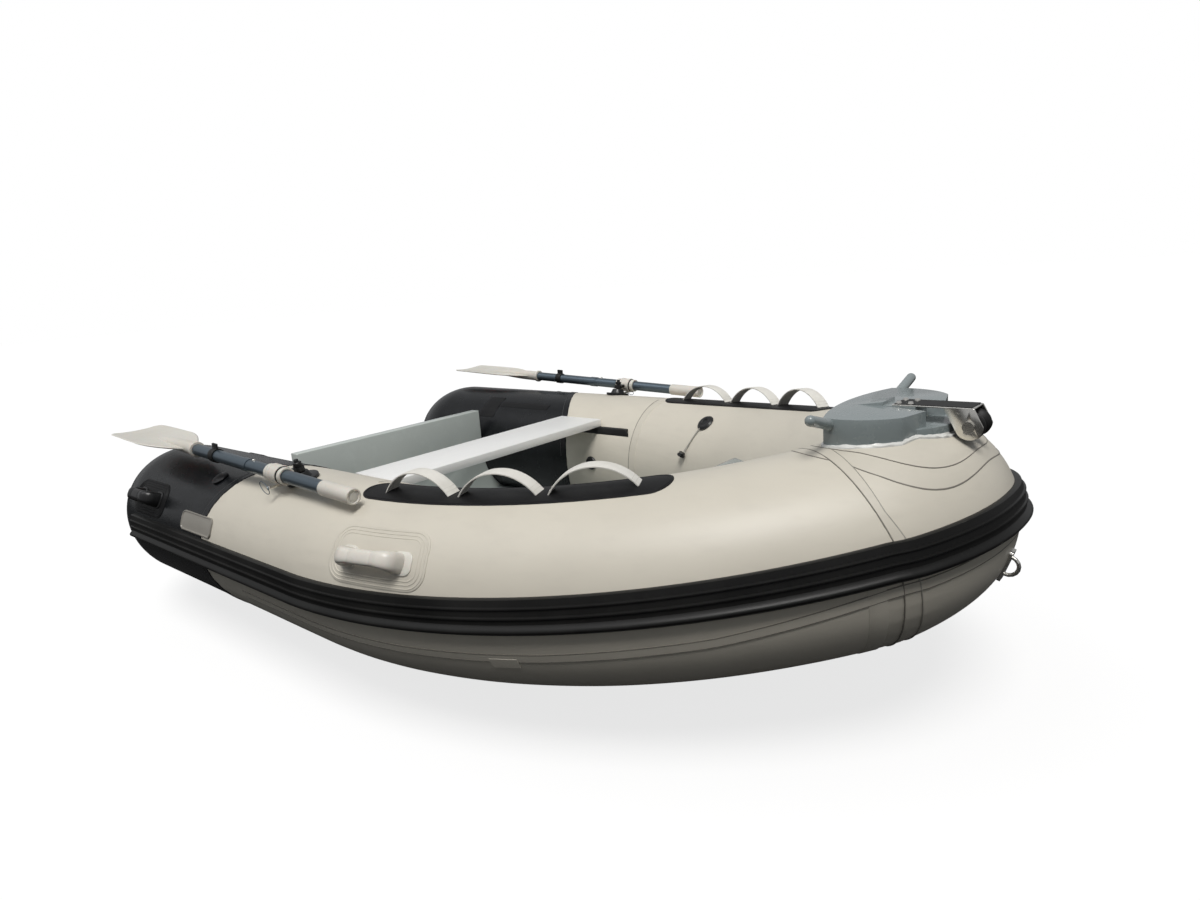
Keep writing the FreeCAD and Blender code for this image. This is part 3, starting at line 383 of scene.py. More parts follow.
# %% Webbing
def webbing(name, colour, dust):
    made = Finish(name, 0.78, Sheen_Weight=0.25, Sheen_Roughness=0.4)
    twill = made.node("ShaderNodeTexWave", {"bands_direction": "DIAGONAL"},
                      {"Vector": made.place(uv=True), "Scale": 210.0, "Distortion": 0.4})
    ribs = made.node("ShaderNodeTexWave", {"bands_direction": "Y"},
                     {"Vector": made.place(uv=True), "Scale": 95.0})
    soil = made.ramp(made.cloud(26.0, 5.0), (0.45, 0.0), (0.75, 1.0))
    tint = made.blend(twill * 0.35, colour, shade(colour, 0.80))
    tint = made.blend(soil * 0.22, tint, dust)
    made.feed("Base Color", tint)
    made.feed("Roughness", 0.74 + soil * 0.12)
    made.bump(twill + ribs * 0.6, 0.0005, 0.7)
    return made.material


webbing_white = webbing("webbing_white", (0.80, 0.78, 0.72, 1), (0.45, 0.42, 0.36, 1))
print("webbing ready")

# %% [markdown]
# ## The frame of the tubes
# Nearly every fitting sits on a round tube that runs straight, bends inwards and rises to the bow.
# So the same rule that made the solids is repeated here: a section at any station, measured along
# the tube from the shoulder of the stern cone, and an angle round it, 0 level outboard and 90 up.

# %% Sections of the tubes
middle_length = 1.0477127564592292
tube_radius = 0.212
half_spacing = 0.605
axis_height = 0.322
straight_length = 1.018
bend_length = 1.062
seam_half_width = 0.150
seam_rise = 0.095
bow_length = 0.052
bow_rise = 0.116
cone_length = 0.270
cone_tip_radius = 0.070
cone_tip_round = 0.016
cone_swell = 0.032
joint_station = 0.632
joint_slant = math.tan(math.radians(31.0))
bow_x = straight_length + bend_length + bow_length
STARBOARD, PORT = -1, 1
SIDES = {"starboard": STARBOARD, "port": PORT}


class Bend:
    """Arc in a tilted plane, from a start and heading to a point off to one side."""

    def __init__(self, start, heading, forward, sideways):
        self.heading = heading
        self.inward = sideways.normalized()
        self.turn = 2 * math.atan(sideways.length / forward)
        self.radius = forward / math.sin(self.turn)
        self.centre = start + self.inward * self.radius

    def point(self, turn):
        return self.centre + self.radius * (self.heading * math.sin(turn) - self.inward * math.cos(turn))

    def direction(self, turn):
        return self.heading * math.cos(turn) + self.inward * math.sin(turn)


def side_bend(side):
    start = Vector((straight_length, side * half_spacing, axis_height))
    sideways = Vector((0, side * (seam_half_width - half_spacing), seam_rise))
    return Bend(start, Vector((1, 0, 0)), bend_length, sideways)


def bow_bend(side):
    start = Vector((bow_x, 0, axis_height + bow_rise))
    sideways = Vector((-bow_length, 0, seam_rise - bow_rise))
    return Bend(start, Vector((0, side, 0)), seam_half_width, sideways)


bends = {side: (side_bend(side), bow_bend(side)) for side in (STARBOARD, PORT)}
seam_station = straight_length + bends[PORT][0].radius * bends[PORT][0].turn
bow_station = seam_station + bends[PORT][1].radius * bends[PORT][1].turn


class Section:
    """Round section of a tube at a station: centre, forward, outboard and upward."""

    def __init__(self, side, station):
        self.side = side
        along, ahead_of = bends[side]
        if station <= straight_length:
            self.centre = Vector((station, side * half_spacing, axis_height))
            self.forward = Vector((1, 0, 0))
        elif station <= seam_station:
            turn = (station - straight_length) / along.radius
            self.centre = along.point(turn)
            self.forward = along.direction(turn)
        else:
            turn = (bow_station - station) / ahead_of.radius
            self.centre = ahead_of.point(turn)
            self.forward = -ahead_of.direction(turn)
        self.centre = self.centre - Vector((middle_length, 0, 0))
        self.turn_out()

    def turn_out(self):
        self.outboard = self.forward.cross(Vector((0, 0, -self.side))).normalized()
        self.up = self.outboard.cross(self.forward) * -self.side

    def normal(self, degrees):
        angle = math.radians(degrees)
        return self.outboard * math.cos(angle) + self.up * math.sin(angle)

    def point(self, degrees, lift=0.0):
        return self.centre + self.normal(degrees) * (tube_radius + lift)


def mitre(side):
    """The section in the plane of the bow seam."""
    cut = Section(side, seam_station)
    towards_bow, from_bow = [bend.direction(bend.turn) for bend in bends[side]]
    cut.forward = (towards_bow - from_bow).normalized()
    cut.turn_out()
    return cut


def spread(first, last, count):
    return [first + (last - first) * i / (count - 1) for i in range(count)]


print("bow seam at", round(seam_station, 3), "and bow at", round(bow_station, 3), "m along the tube")

# %% [markdown]
# Three small makers turn rows of points into pieces: one skins a closed tube of rows and caps its
# ends, one lays a thin sheet with a top and an underside, and one links the mesh, smooths it, and
# says which body it rides on, which finish it wears and which solids it stands for.

# %% Makers of pieces
smooth_limit = math.radians(38)


def add_piece(name, points, faces, finish, body="boat", replaced=(), uvs=None):
    mesh = bpy.data.meshes.new(name)
    mesh.from_pydata([tuple(p) for p in points], [], faces)
    mesh.update()
    work = bmesh.new()
    work.from_mesh(mesh)
    if uvs is not None:
        layer = work.loops.layers.uv.new("UVMap")
        work.verts.ensure_lookup_table()
        for face in work.faces:
            for loop in face.loops:
                loop[layer].uv = uvs[loop.vert.index]
    bmesh.ops.remove_doubles(work, verts=work.verts, dist=1e-6)
    bmesh.ops.recalc_face_normals(work, faces=work.faces)
    work.to_mesh(mesh)
    work.free()
    return dress(bpy.data.objects.new(name, mesh), finish, body, replaced)


def dress(piece, finish, body="boat", replaced=()):
    if piece.name not in bpy.context.scene.objects:
        bpy.context.scene.collection.objects.link(piece)
    mesh = piece.data
    mesh.materials.clear()
    mesh.materials.append(finish)
    mesh.shade_smooth()
    mesh.set_sharp_from_angle(angle=smooth_limit)
    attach(piece, body)
    if replaced:
        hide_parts(*replaced)
    return piece


def skin(rows, capped=True):
    """Quads between closed rows of points, with fans over the first and last row."""
    count = len(rows[0])
    points = [p for row in rows for p in row]
    faces = []
    for r in range(len(rows) - 1):
        for c in range(count):
            d = (c + 1) % count
            faces.append((r * count + c, r * count + d, (r + 1) * count + d, (r + 1) * count + c))
    if capped:
        faces.append(tuple(range(count)))
        faces.append(tuple((len(rows) - 1) * count + c for c in range(count)))
    return points, faces


def sheet_grid(rows):
    """A thin closed sheet: rows hold pairs of an upper and a lower point."""
    height, width = len(rows), len(rows[0])
    points = [pair[0] for row in rows for pair in row] + [pair[1] for row in rows for pair in row]
    under = height * width
    faces = []
    for r in range(height - 1):
        for c in range(width - 1):
            a, b = r * width + c, r * width + c + 1
            e, f = a + width, b + width
            faces.append((a, b, f, e))
            faces.append((under + a, under + e, under + f, under + b))
    rim = list(range(width)) + [r * width + width - 1 for r in range(1, height)]
    rim += [(height - 1) * width + c for c in range(width - 2, -1, -1)]
    rim += [r * width for r in range(height - 2, 0, -1)]
    for a, b in zip(rim, rim[1:] + rim[:1]):
        faces.append((b, a, under + a, under + b))
    return points, faces


print("makers ready")

# %% [markdown]
# ## Buoyancy tubes
# The real tubes are panels of coated fabric glued round a former and blown hard. Pressure makes
# every section round, so a cloth simulation would only give the circle back; the life is in what
# the glue does: the fabric draws in by a hair beside each seam and puckers along it. The rings are
# therefore computed, and a slow noise and small seam puckers pull them inwards by under 2 mm.

# %% Fabric of the tubes
ring_points = 112
cone_rings = 22
stern_rings = 26
straight_rings = 24
bend_rings = 96
bow_rings = 16
ripple_depth = 0.0007
pucker_depth = 0.0011
pucker_reach = 0.030
middle_seam = 1.075
joint_rings = (joint_station, middle_seam, seam_station)


def seam_pull(station, degrees, seams):
    """How far the fabric draws in beside its seams."""
    pull = 0.0
    for seam in seams:
        gap = abs(station - seam)
        near = math.exp(-(gap / pucker_reach) ** 2)
        pull += near * pucker_depth * (0.55 + 0.45 * math.sin(math.radians(degrees) * 37 + seam * 9))
    return pull


def fabric_point(section, degrees, station, seams):
    base = section.point(degrees)
    wander = noise.noise(base * 5.0) * 0.5 + 0.5
    return base - section.normal(degrees) * (ripple_depth * wander + seam_pull(station, degrees, seams))


def joint_at(degrees):
    """Station of the slanted colour joint at an angle round the tube."""
    return joint_station - tube_radius * math.cos(math.radians(degrees)) * joint_slant


def round_angles():
    return [360.0 * i / ring_points for i in range(ring_points)]


def stern_rows(side):
    rows = []
    slope = (tube_radius - cone_tip_radius) / cone_length
    axis = Section(side, 0.0)
    shell = []
    for run in spread(1.0, 0.0, cone_rings):
        swell = 4 * cone_swell * run * (1 - run)
        x = -cone_length * run - swell * slope / 2
        shell.append((x, tube_radius + (cone_tip_radius - tube_radius) * run + swell))
    tip_x, tip_r = shell[0]
    for turn in spread(90, 0, 7)[:-1]:
        a = math.radians(turn)
        inset = cone_tip_round * (1 - math.cos(a))
        rows.append((tip_x + cone_tip_round * (1 - math.sin(a)) * 0.4, max(tip_r - inset, 0.01)))
    rows = [(tip_x, tip_r - cone_tip_round)] + [(x, r) for x, r in rows if x > tip_x] + shell[1:]
    made = []
    for x, radius in rows:
        ring = []
        for degrees in round_angles():
            base = axis.centre + Vector((x, 0, 0)) + axis.normal(degrees) * radius
            wander = noise.noise(base * 5.0) * 0.5 + 0.5
            ring.append(base - axis.normal(degrees) * ripple_depth * wander)
        made.append(ring)
    for run in spread(0.0, 1.0, stern_rings)[1:]:
        ring = []
        for degrees in round_angles():
            station = run * joint_at(degrees)
            nominal = run * joint_station
            ring.append(fabric_point(Section(side, station), degrees, nominal, (joint_station,)))
        made.append(ring)
    return made


def side_rows(side):
    made = []
    for run in spread(0.0, 1.0, straight_rings):
        ring = []
        for degrees in round_angles():
            station = joint_at(degrees) + run * (straight_length - joint_at(degrees))
            nominal = joint_station + run * (straight_length - joint_station)
            ring.append(fabric_point(Section(side, station), degrees, nominal, joint_rings))
        made.append(ring)
    for station in spread(straight_length, seam_station, bend_rings)[1:-1]:
        cut = Section(side, station)
        made.append([fabric_point(cut, degrees, station, joint_rings) for degrees in round_angles()])
    cut = mitre(side)
    made.append([fabric_point(cut, degrees, seam_station, joint_rings) for degrees in round_angles()])
    return made


def bow_sections(count):
    stations = spread(seam_station, bow_station, count)
    starboard = [(Section(STARBOARD, s), s) for s in stations[1:]]
    port = [(Section(PORT, s), s) for s in reversed(stations[1:-1])]
    return [(mitre(STARBOARD), seam_station)] + starboard + port + [(mitre(PORT), seam_station)]


for name, side in SIDES.items():
    points, faces = skin(stern_rows(side))
    add_piece("fabric_stern_" + name, points, faces, black_fabric,
              replaced=["tube_stern_" + name])
    points, faces = skin(side_rows(side))
    add_piece("fabric_side_" + name, points, faces, pale_fabric,
              replaced=["tube_side_" + name])
rows = []
for cut, station in bow_sections(bow_rings):
    rows.append([fabric_point(cut, degrees, station, (seam_station,)) for degrees in round_angles()])
points, faces = skin(rows)
add_piece("fabric_bow", points, faces, pale_fabric, replaced=["tube_bow"])
print("tubes of", ring_points, "points round")

# %% [markdown]
# Seam tapes are strips of the same fabric glued over each joint. They stand up by a millimetre only,
# but their edges catch the light, so they are real strips that follow the tube. A ring is told by
# the station of its middle at each angle, or by those of its two edges, and a long strip by knots of
# station and angle. Either way the edges are feathered down into the fabric.

# %% Seam tapes
tape_lift = 0.0010
tape_sunk = 0.0022
edge_shares = (0.0, 0.06, 0.5, 0.94, 1.0)
edge_lifts = (-0.3, 1.0, 1.0, 1.0, -0.3)


def ring_tape(name, side, station_of, width, angles, finish, lift=tape_lift, far_edge=None):
    """A strip round the tube: about a station with a width, or from one edge to a far edge."""
    rows = []
    for degrees in angles:
        row = []
        middle, wide = station_of(degrees), width
        if far_edge is not None:
            wide = far_edge(degrees) - middle
            middle += wide / 2
        for share, high in zip(edge_shares, edge_lifts):
            cut = Section(side, middle + (share - 0.5) * wide)
            row.append((cut.point(degrees, lift * high), cut.point(degrees, -tape_sunk)))
        rows.append(row)
    points, faces = sheet_grid(rows)
    return add_piece(name, points, faces, finish)


def long_tape(name, side, line, width, finish, lift=tape_lift):
    """line is a list of (station, angle of the middle of the tape)."""
    rows = []
    wide = math.degrees(width / tube_radius)
    for station, degrees in line:
        cut = Section(side, station)
        row = []
        for share, high in zip(edge_shares, edge_lifts):
            angle = degrees + (share - 0.5) * wide
            row.append((cut.point(angle, lift * high), cut.point(angle, -tape_sunk)))
        rows.append(row)
    points, faces = sheet_grid(rows)
    return add_piece(name, points, faces, finish)


def along(knots, count):
    """Straight interpolation of (station, angle) knots."""
    line = []
    for station in spread(knots[0][0], knots[-1][0], count):
        for (s0, a0), (s1, a1) in zip(knots, knots[1:]):
            if s0 <= station <= s1 + 1e-9:
                line.append((station, a0 + (a1 - a0) * (station - s0) / (s1 - s0)))
                break
    return line


full_turn = spread(0.0, 360.0, 97)
inner_half = spread(96.0, 262.0, 49)
low_tape_knots = [(0.70, -22.0), (1.30, -22.0), (1.60, -20.0), (1.90, -15.5), (seam_station - 0.03, -5.0)]
low_tape_knots += [(seam_station + 0.02, -4.0), (bow_station, -1.0)]


def seam_shift(first, slope, lowest=20.0, highest=100.0):
    """Station of an edge of the bow seam, which leans aft towards the top of the tube."""
    return lambda degrees: seam_station + first - slope * (min(max(degrees, lowest), highest) - lowest)


bow_lap = seam_shift(-0.002, 0.00074)
bow_edge = seam_shift(0.007, 0.00045)
middle_tape_width = 0.030
joint_tape_width = 0.026
joint_tape_shift = 0.010
low_tape_width = 0.020
tape_points = 80


for name, side in SIDES.items():
    ring_tape("seam_tape_middle_" + name, side, lambda d: middle_seam, middle_tape_width, inner_half,
              pale_tape)
    ring_tape("seam_tape_joint_" + name, side, lambda d: joint_at(d) - joint_tape_shift,
              joint_tape_width, full_turn, black_fabric)
    ring_tape("seam_tape_bow_" + name, side, bow_lap, 0.0, full_turn, pale_tape,
              far_edge=bow_edge)
    long_tape("seam_tape_low_" + name, side, along(low_tape_knots, tape_points), low_tape_width,
              pale_tape)
print("tapes laid")

# %% [markdown]
# ## Rubbing strake
# The strake is an extruded rubber profile: a flat flange, two sharp ribs and a round lower lobe.
# Sweeping one outline along the tube is what the extruder does, so its rows are the profile placed
# at each section. The profile has more points than the solid's so that the lobe looks round.

# %% Strake
strake_height = 0.076
strake_depth = 0.012
strake_rib = 0.004
lobe_swell = 0.016
rib_shares = ((0.22, 0.30), (0.46, 0.54))
rib_flank = 0.02
band_share = 0.66
lobe_points = 18
strake_straight_rows = 8
strake_bend_rows = 90
strake_start = 0.030
strake_edge_angle = 12.0
strake_climb = 10.0
side_sag = 0.0006
bow_sag = 0.0003


def strake_top(station):
    """Angle of the strake's upper edge, which climbs a little towards the bow."""
    run = max(station - straight_length, 0.0) / (bow_station - straight_length)
    return strake_edge_angle + strake_climb * run


def strake_profile():
    shape = [(0.0, 0.0), (0.02, strake_depth * 0.7), (0.05, strake_depth)]
    for first, last in rib_shares:
        shape += [(first, strake_depth), (first + rib_flank, strake_depth + strake_rib * 0.9)]
        shape += [((first + last) / 2, strake_depth + strake_rib)]
        shape += [(last - rib_flank, strake_depth + strake_rib * 0.9), (last, strake_depth)]
    for i in range(lobe_points + 1):
        run = i / lobe_points
        depth = strake_depth * (1 - run) + lobe_swell * math.sin(math.pi * run)
        shape.append((band_share + (1 - band_share) * run, depth))
    return shape


profile = strake_profile()


def strake_row(cut, station, lift):
    row = []
    for share, depth in profile:
        degrees = strake_top(station) - math.degrees(strake_height * share / tube_radius)
        row.append(cut.point(degrees, lift + depth))
    for share in (1.0, 0.75, 0.5, 0.25, 0.0):
        degrees = strake_top(station) - math.degrees(strake_height * share / tube_radius)
        row.append(cut.point(degrees, -tape_sunk))
    return row


for name, side in SIDES.items():
    stations = spread(strake_start, straight_length, strake_straight_rows)[:-1]
    stations += spread(straight_length, seam_station, strake_bend_rows)[:-1]
    rows = [strake_row(Section(side, s), s, side_sag) for s in stations]
    rows.append(strake_row(mitre(side), seam_station, side_sag / 2))
    points, faces = skin(rows)
    add_piece("strake_rubber_" + name, points, faces, strake_rubber,
              replaced=["strake_" + name])
rows = [strake_row(cut, s, bow_sag) for cut, s in bow_sections(bow_rings)]
points, faces = skin(rows)
add_piece("strake_rubber_bow", points, faces, strake_rubber, replaced=["strake_bow"])
print("strake profile of", len(profile), "points")

# %% [markdown]
# ## Patches on the tubes
# Handles are held by moulded patches with raised rings round their edge, and the webbing arches by
# one long black patch with round ends. All are the same shape rule: rings that step inwards from a
# rounded rectangle, each with its own height, laid on the curve of the tube.

# %% Ringed patches
corner_steps = 8
edge_steps = 14
ring_spacing = 0.006
last_ring = 0.0006


def rounded_ring(half_length, half_width, corner):
    """Points round a rectangle with rounded corners, as (along, across)."""
    corner = max(min(corner, half_length, half_width), 0.0005)
    ring = []
    quarters = ((1, 1, 0), (-1, 1, 90), (-1, -1, 180), (1, -1, 270))
    corners = []
    for sx, sy, start in quarters:
        cx, cy = sx * (half_length - corner), sy * (half_width - corner)
        arc = []
        for step in range(corner_steps + 1):
            a = math.radians(start + 90 * step / corner_steps)
            arc.append((cx + corner * math.cos(a), cy + corner * math.sin(a)))
        corners.append(arc)
    for arc, following in zip(corners, corners[1:] + corners[:1]):
        ring += arc
        (x0, y0), (x1, y1) = arc[-1], following[0]
        for step in range(1, edge_steps):
            t = step / edge_steps
            ring.append((x0 + (x1 - x0) * t, y0 + (y1 - y0) * t))
    return ring


def laid(side, station, degrees, row):
    """Points (along, across, height) laid on the curve of the tube."""
    return [Section(side, station + x).point(degrees + math.degrees(y / tube_radius), z) for x, y, z in row]


def ringed_patch(name, side, station, degrees, half_length, half_width, corner, heights, finish,
                 replaced=()):
    """heights is a list of (inset from the edge, height above the tube)."""
    rows = [[(x, y, -tape_sunk) for x, y in rounded_ring(half_length, half_width, corner)]]
    for inset, height in heights:
        ring = rounded_ring(half_length - inset, half_width - inset, corner - inset)
        rows.append([(x, y, height) for x, y in ring])
    last_inset, last_height = heights[-1]
    steps = max(int((half_width - last_inset) / ring_spacing), 2)
    for inset in spread(last_inset, half_width - last_ring, steps + 1)[1:]:
        ring = rounded_ring(half_length - inset, half_width - inset, corner - inset)
        rows.append([(x, y, last_height) for x, y in ring])
    upper = [laid(side, station, degrees, row) for row in rows]
    sunk = [[(x, y, -tape_sunk) for x, y, z in row] for row in reversed(rows[1:])]
    under = [laid(side, station, degrees, row) for row in sunk]
    points, faces = skin(under + upper)
    return add_piece(name, points, faces, finish, replaced=replaced)


def ridges(*insets, base=0.0012, top=0.0026, wide=0.0016):
    heights = [(0.0002, base * 0.6), (0.0010, base)]
    for inset in insets:
        heights += [(inset - wide, base), (inset - wide / 2, top)]
        heights += [(inset + wide / 2, top), (inset + wide, base)]
    return heights


grab_angle = 87.0
grab_patch_start, grab_patch_end = 1.080, 1.872
grab_patch_middle = (grab_patch_start + grab_patch_end) / 2
grab_patch_half = (grab_patch_end - grab_patch_start) / 2
grab_patch_wide = math.radians(15.0) * tube_radius
lift_station = 1.262
stern_station = 0.130
handle_corner = 0.044
plate_station = 0.475
plate_rim = [(0.0004, 0.0020), (0.0012, 0.0038), (0.0034, 0.0040), (0.0048, 0.0020), (0.0062, 0.0018)]
for name, side in SIDES.items():
    ringed_patch("grab_patch_" + name, side, grab_patch_middle, grab_angle, grab_patch_half,
                 grab_patch_wide, grab_patch_wide, ridges(0.007, base=0.0014, top=0.0022), black_patch,
                 replaced=["grab_patches"])
    ringed_patch("lift_patch_" + name, side, lift_station, 33.5, 0.131, math.radians(18.0) * tube_radius,
                 handle_corner, ridges(0.006, 0.014, 0.022, top=0.0021), pale_tape,
                 replaced=["handle_patches"])
    ringed_patch("stern_patch_" + name, side, stern_station, 29.0, 0.113, math.radians(14.5) * tube_radius,
                 handle_corner, ridges(0.006, 0.013, 0.020, top=0.0021), black_patch,
                 replaced=["handle_patches"])
    ringed_patch("side_plate_" + name, side, plate_station, 21.5, 0.095, math.radians(7.5) * tube_radius,
                 0.016, plate_rim, plate_grey, replaced=["side_plates"])
print("patches laid")

# %% [markdown]
# ## Grab handles
# Each grab handle is a length of stiff white webbing bent into an arch and glued under the patch.
# The arch is a circular arc; a real one crowns slightly across its width and its edges are turned,
# so the section is a rounded rectangle with a small crown, and its UV map is in metres.

# %% Webbing arches
grab_reach = 0.096
grab_rise = 0.050
grab_thick = 0.0034
arch_lift = 0.0022
grab_half_width = 0.0195
arch_steps = 48
crowned = [(-1.0, 0.0), (-0.985, 0.40), (-0.93, 0.5), (-0.5, 0.62), (0.0, 0.68), (0.5, 0.62),
           (0.93, 0.5), (0.985, 0.40)]
hollow = [(1.0, 0.0), (0.985, -0.40), (0.93, -0.5), (0.5, -0.38), (0.0, -0.32), (-0.5, -0.38),
          (-0.93, -0.5), (-0.985, -0.40)]
webbing_section = crowned + hollow


def on_tube(side, station, degrees, lift):
    """Origin and axes of a fitting: forward, across and away from the tube."""
    cut = Section(side, station)
    away = cut.normal(degrees)
    across = away.cross(cut.forward)
    return cut.point(degrees, lift), cut.forward, across, away


def strap_sweep(name, path, half_width, thick, finish, body="boat", replaced=()):
    """path is a list of (point, across, away)."""
    rows, uvs = [], []
    run = 0.0
    for i, (point, across, away) in enumerate(path):
        if i:
            run += (point - path[i - 1][0]).length
        rows.append([point + across * (half_width * v) + away * (thick * w) for v, w in webbing_section])
        uvs += [(run, half_width * v) for v, w in webbing_section]
    points, faces = skin(rows)
    return add_piece(name, points, faces, finish, body, replaced, uvs)


def arch_path(side, station):
    origin, forward, across, away = on_tube(side, station, grab_angle, arch_lift)
    slope = 2 * math.atan(grab_rise / grab_reach)
    radius = grab_reach / math.sin(slope)
    path = []
    for turn in spread(-slope, slope, arch_steps):
        x = radius * math.sin(turn)
        z = grab_rise - radius * (1 - math.cos(turn)) - grab_thick / 2
        out = forward * math.sin(turn) + away * math.cos(turn)
        path.append((origin + forward * x + away * z, across, out))
    return path


grab_starts = (1.163, 1.385, 1.607)
grab_middles = [start + grab_reach for start in grab_starts]
for name, side in SIDES.items():
    for i, station in enumerate(grab_middles):
        strap_sweep("grab_webbing_%s_%d" % (name, i + 1), arch_path(side, station), grab_half_width,
                    grab_thick, webbing_white, replaced=["grab_handles"])
print(2 * len(grab_middles), "webbing arches")

# %% [markdown]
# ## Solids that keep their form
# The rigid parts are right as they are, but machined corners are never razor sharp. A copy of each
# solid is welded into one skin, its flat faces are dissolved into single faces, and a Bevel
# modifier rounds the corners by the amount the real material has. The copy stands for the solid.

# %% Rounded corners
weld_distance = 2e-6
flat_angle = math.radians(1.0)
corner_angle = math.radians(32.0)


def eased(node, width, finish, body="boat", segments=2):
    """A copy of a solid with its sharp corners rounded."""
    work = bmesh.new()
    work.from_mesh(nodes[node].data)
    bmesh.ops.remove_doubles(work, verts=work.verts, dist=weld_distance)
    bmesh.ops.dissolve_limit(work, angle_limit=flat_angle, verts=work.verts, edges=work.edges)
    mesh = bpy.data.meshes.new(node + "_eased")
    work.to_mesh(mesh)
    work.free()
    mesh.materials.clear()
    piece = bpy.data.objects.new(node + "_eased", mesh)
    bpy.context.scene.collection.objects.link(piece)
    bevel = piece.modifiers.new("corners", "BEVEL")
    bevel.width = width
    bevel.segments = segments
    bevel.limit_method = "ANGLE"
    bevel.angle_limit = corner_angle
    bevel.use_clamp_overlap = True
    evaluated = piece.evaluated_get(bpy.context.evaluated_depsgraph_get())
    finished = bpy.data.meshes.new_from_object(evaluated)
    piece.modifiers.clear()
    piece.data = finished
    finished.name = node + "_eased"
    return dress(piece, finish, body, [node])


eased("bow_step", 0.005, step_grey, segments=3)
eased("transom", 0.004, transom_grey)
eased("motor_pad", 0.0015, black_plastic)
eased("thwart", 0.0012, plank_alloy)
eased("thwart_rails", 0.003, black_rubber)
eased("roller_bracket", 0.0006, stainless)
eased("rowlock_bases", 0.0012, black_plastic)
eased("strap_keepers", 0.0012, black_plastic)
for name in SIDES:
    body = "oar_" + name
    eased("rowlock_yoke_" + name, 0.0012, black_plastic, body)
    eased("oar_collar_" + name, 0.0010, white_plastic, body)
    eased("oar_grip_" + name, 0.0025, white_plastic, body, segments=3)
    eased("oar_strap_" + name, 0.0008, black_rubber, body)
print("corners rounded")

# %% [markdown]
# The solids that are shown as they are only change their finish: it is assigned to the slots of
# the object, and the mesh is left alone.

# %% Finishes of the remaining solids
kept = {
    "hull_shell": hull_grey, "deck": deck_grey, "bow_locker": step_grey, "keel_band": black_rubber,
    "drain_bush": black_plastic, "tow_eyes": stainless, "mooring_horns": step_grey,
    "roller_axle": stainless, "bow_eye": stainless,
    "oar_shaft_starboard": oar_alloy, "oar_shaft_port": oar_alloy,
}
for node, finish in kept.items():
    mesh = nodes[node].data
    for i in range(len(mesh.materials)):
        mesh.materials[i] = finish
    if not len(mesh.materials):
        mesh.materials.append(finish)
print(len(kept), "solids shown as they are")

# %% [markdown]
# ## Thin lines along glued edges
# Along every glued edge a little adhesive and dirt collects, which the eye reads as a fine darker
# line. It is too thin to come from the weave's material, so it is laid as its own narrow strip. The
# same makers lay the tape inside the cockpit and the lap where two panels meet low on the side.

# %% Edge lines
line_width = 0.0017
line_lift = 0.0013
middle_edge = 1.060
joint_edge = 0.023
seam_line = coated_fabric("seam_line", (0.215, 0.200, 0.172, 1), (0.17, 0.16, 0.14, 1), 0.6)
dark_line = coated_fabric("dark_line", (0.045, 0.046, 0.046, 1), (0.08, 0.08, 0.08, 1), 0.6)
side_turn = spread(-160.0, 175.0, 90)


def edge_line(name, side, station_of, angles, finish, width=line_width):
    ring_tape(name, side, station_of, width, angles, finish, line_lift)


for name, side in SIDES.items():
    edge_line("seam_line_middle_" + name, side, lambda d: middle_edge, inner_half, seam_line)
    edge_line("seam_line_lap_" + name, side, bow_lap, side_turn, seam_line)
    edge_line("seam_line_bow_" + name, side, bow_edge, side_turn, patch_grey, width=line_width * 0.6)
    for i, shift in enumerate((-1, 1)):
        edge = math.degrees(low_tape_width / 2 / tube_radius) * shift
        knots = [(station, angle + edge) for station, angle in low_tape_knots]
        long_tape("low_line_%s_%d" % (name, i + 1), side, along(knots, tape_points), line_width,
                  seam_line, line_lift)
    edge_line("joint_line_" + name, side, lambda d: joint_at(d) - joint_edge, side_turn, dark_line)
    inner_seam = along([(0.34, 124.0), (0.60, 124.0)], 20)
    long_tape("inner_tape_" + name, side, inner_seam, 0.030, black_patch)
    overlap = along([(1.505, -24.5), (1.560, -24.0)], 8)
    long_tape("low_overlap_" + name, side, overlap, 0.030, pale_tape, 0.0018)
print("edge lines laid")

# %% [markdown]
# ## Patches under the bow step
# Two sheets of fabric spread the load of the step over the bow tube. In the picture their edges are
# ovals that run wide of the foot. Each sheet reaches from a small oval hidden under the step out to
# a large one, and every point is dropped onto the tubes with a ray, the way one presses a flat sheet
# onto a curved surface.

# %% Dropping points onto the tubes
drape_points, drape_faces = [], []
for name in ("fabric_bow", "fabric_side_starboard", "fabric_side_port"):
    mesh = bpy.data.objects[name].data
    shift = len(drape_points)
    drape_points += [v.co.copy() for v in mesh.vertices]
    drape_faces += [tuple(shift + v for v in face.vertices) for face in mesh.polygons]
tube_skin = BVHTree.FromPolygons(drape_points, drape_faces)
step_middle = (2.095, 0.0)
drop_height = 1.2
lowest_hit = 0.40
steepest_fall = 0.12


def dropped(angle, reach, lift):
    """The point of the tubes under a place round the step, or None beside them."""
    x = step_middle[0] + reach * math.cos(angle) - middle_length
    y = reach * math.sin(angle)
    hit, normal, index, gap = tube_skin.ray_cast(Vector((x, y, drop_height)), Vector((0, 0, -1)))
    if hit is None or hit.z < lowest_hit or normal.z < steepest_fall:
        return None
    return hit + normal * lift


print(len(drape_faces), "faces to drop points on")

# %% [markdown]
# The filler follows the foot of the step itself, so that outline is needed too: two flanks, a nose
# and a rounded back, each an arc through three points. From the middle of the step any outline is
# told by its reach in every direction, which lets one maker lay the sheets and the filler alike.

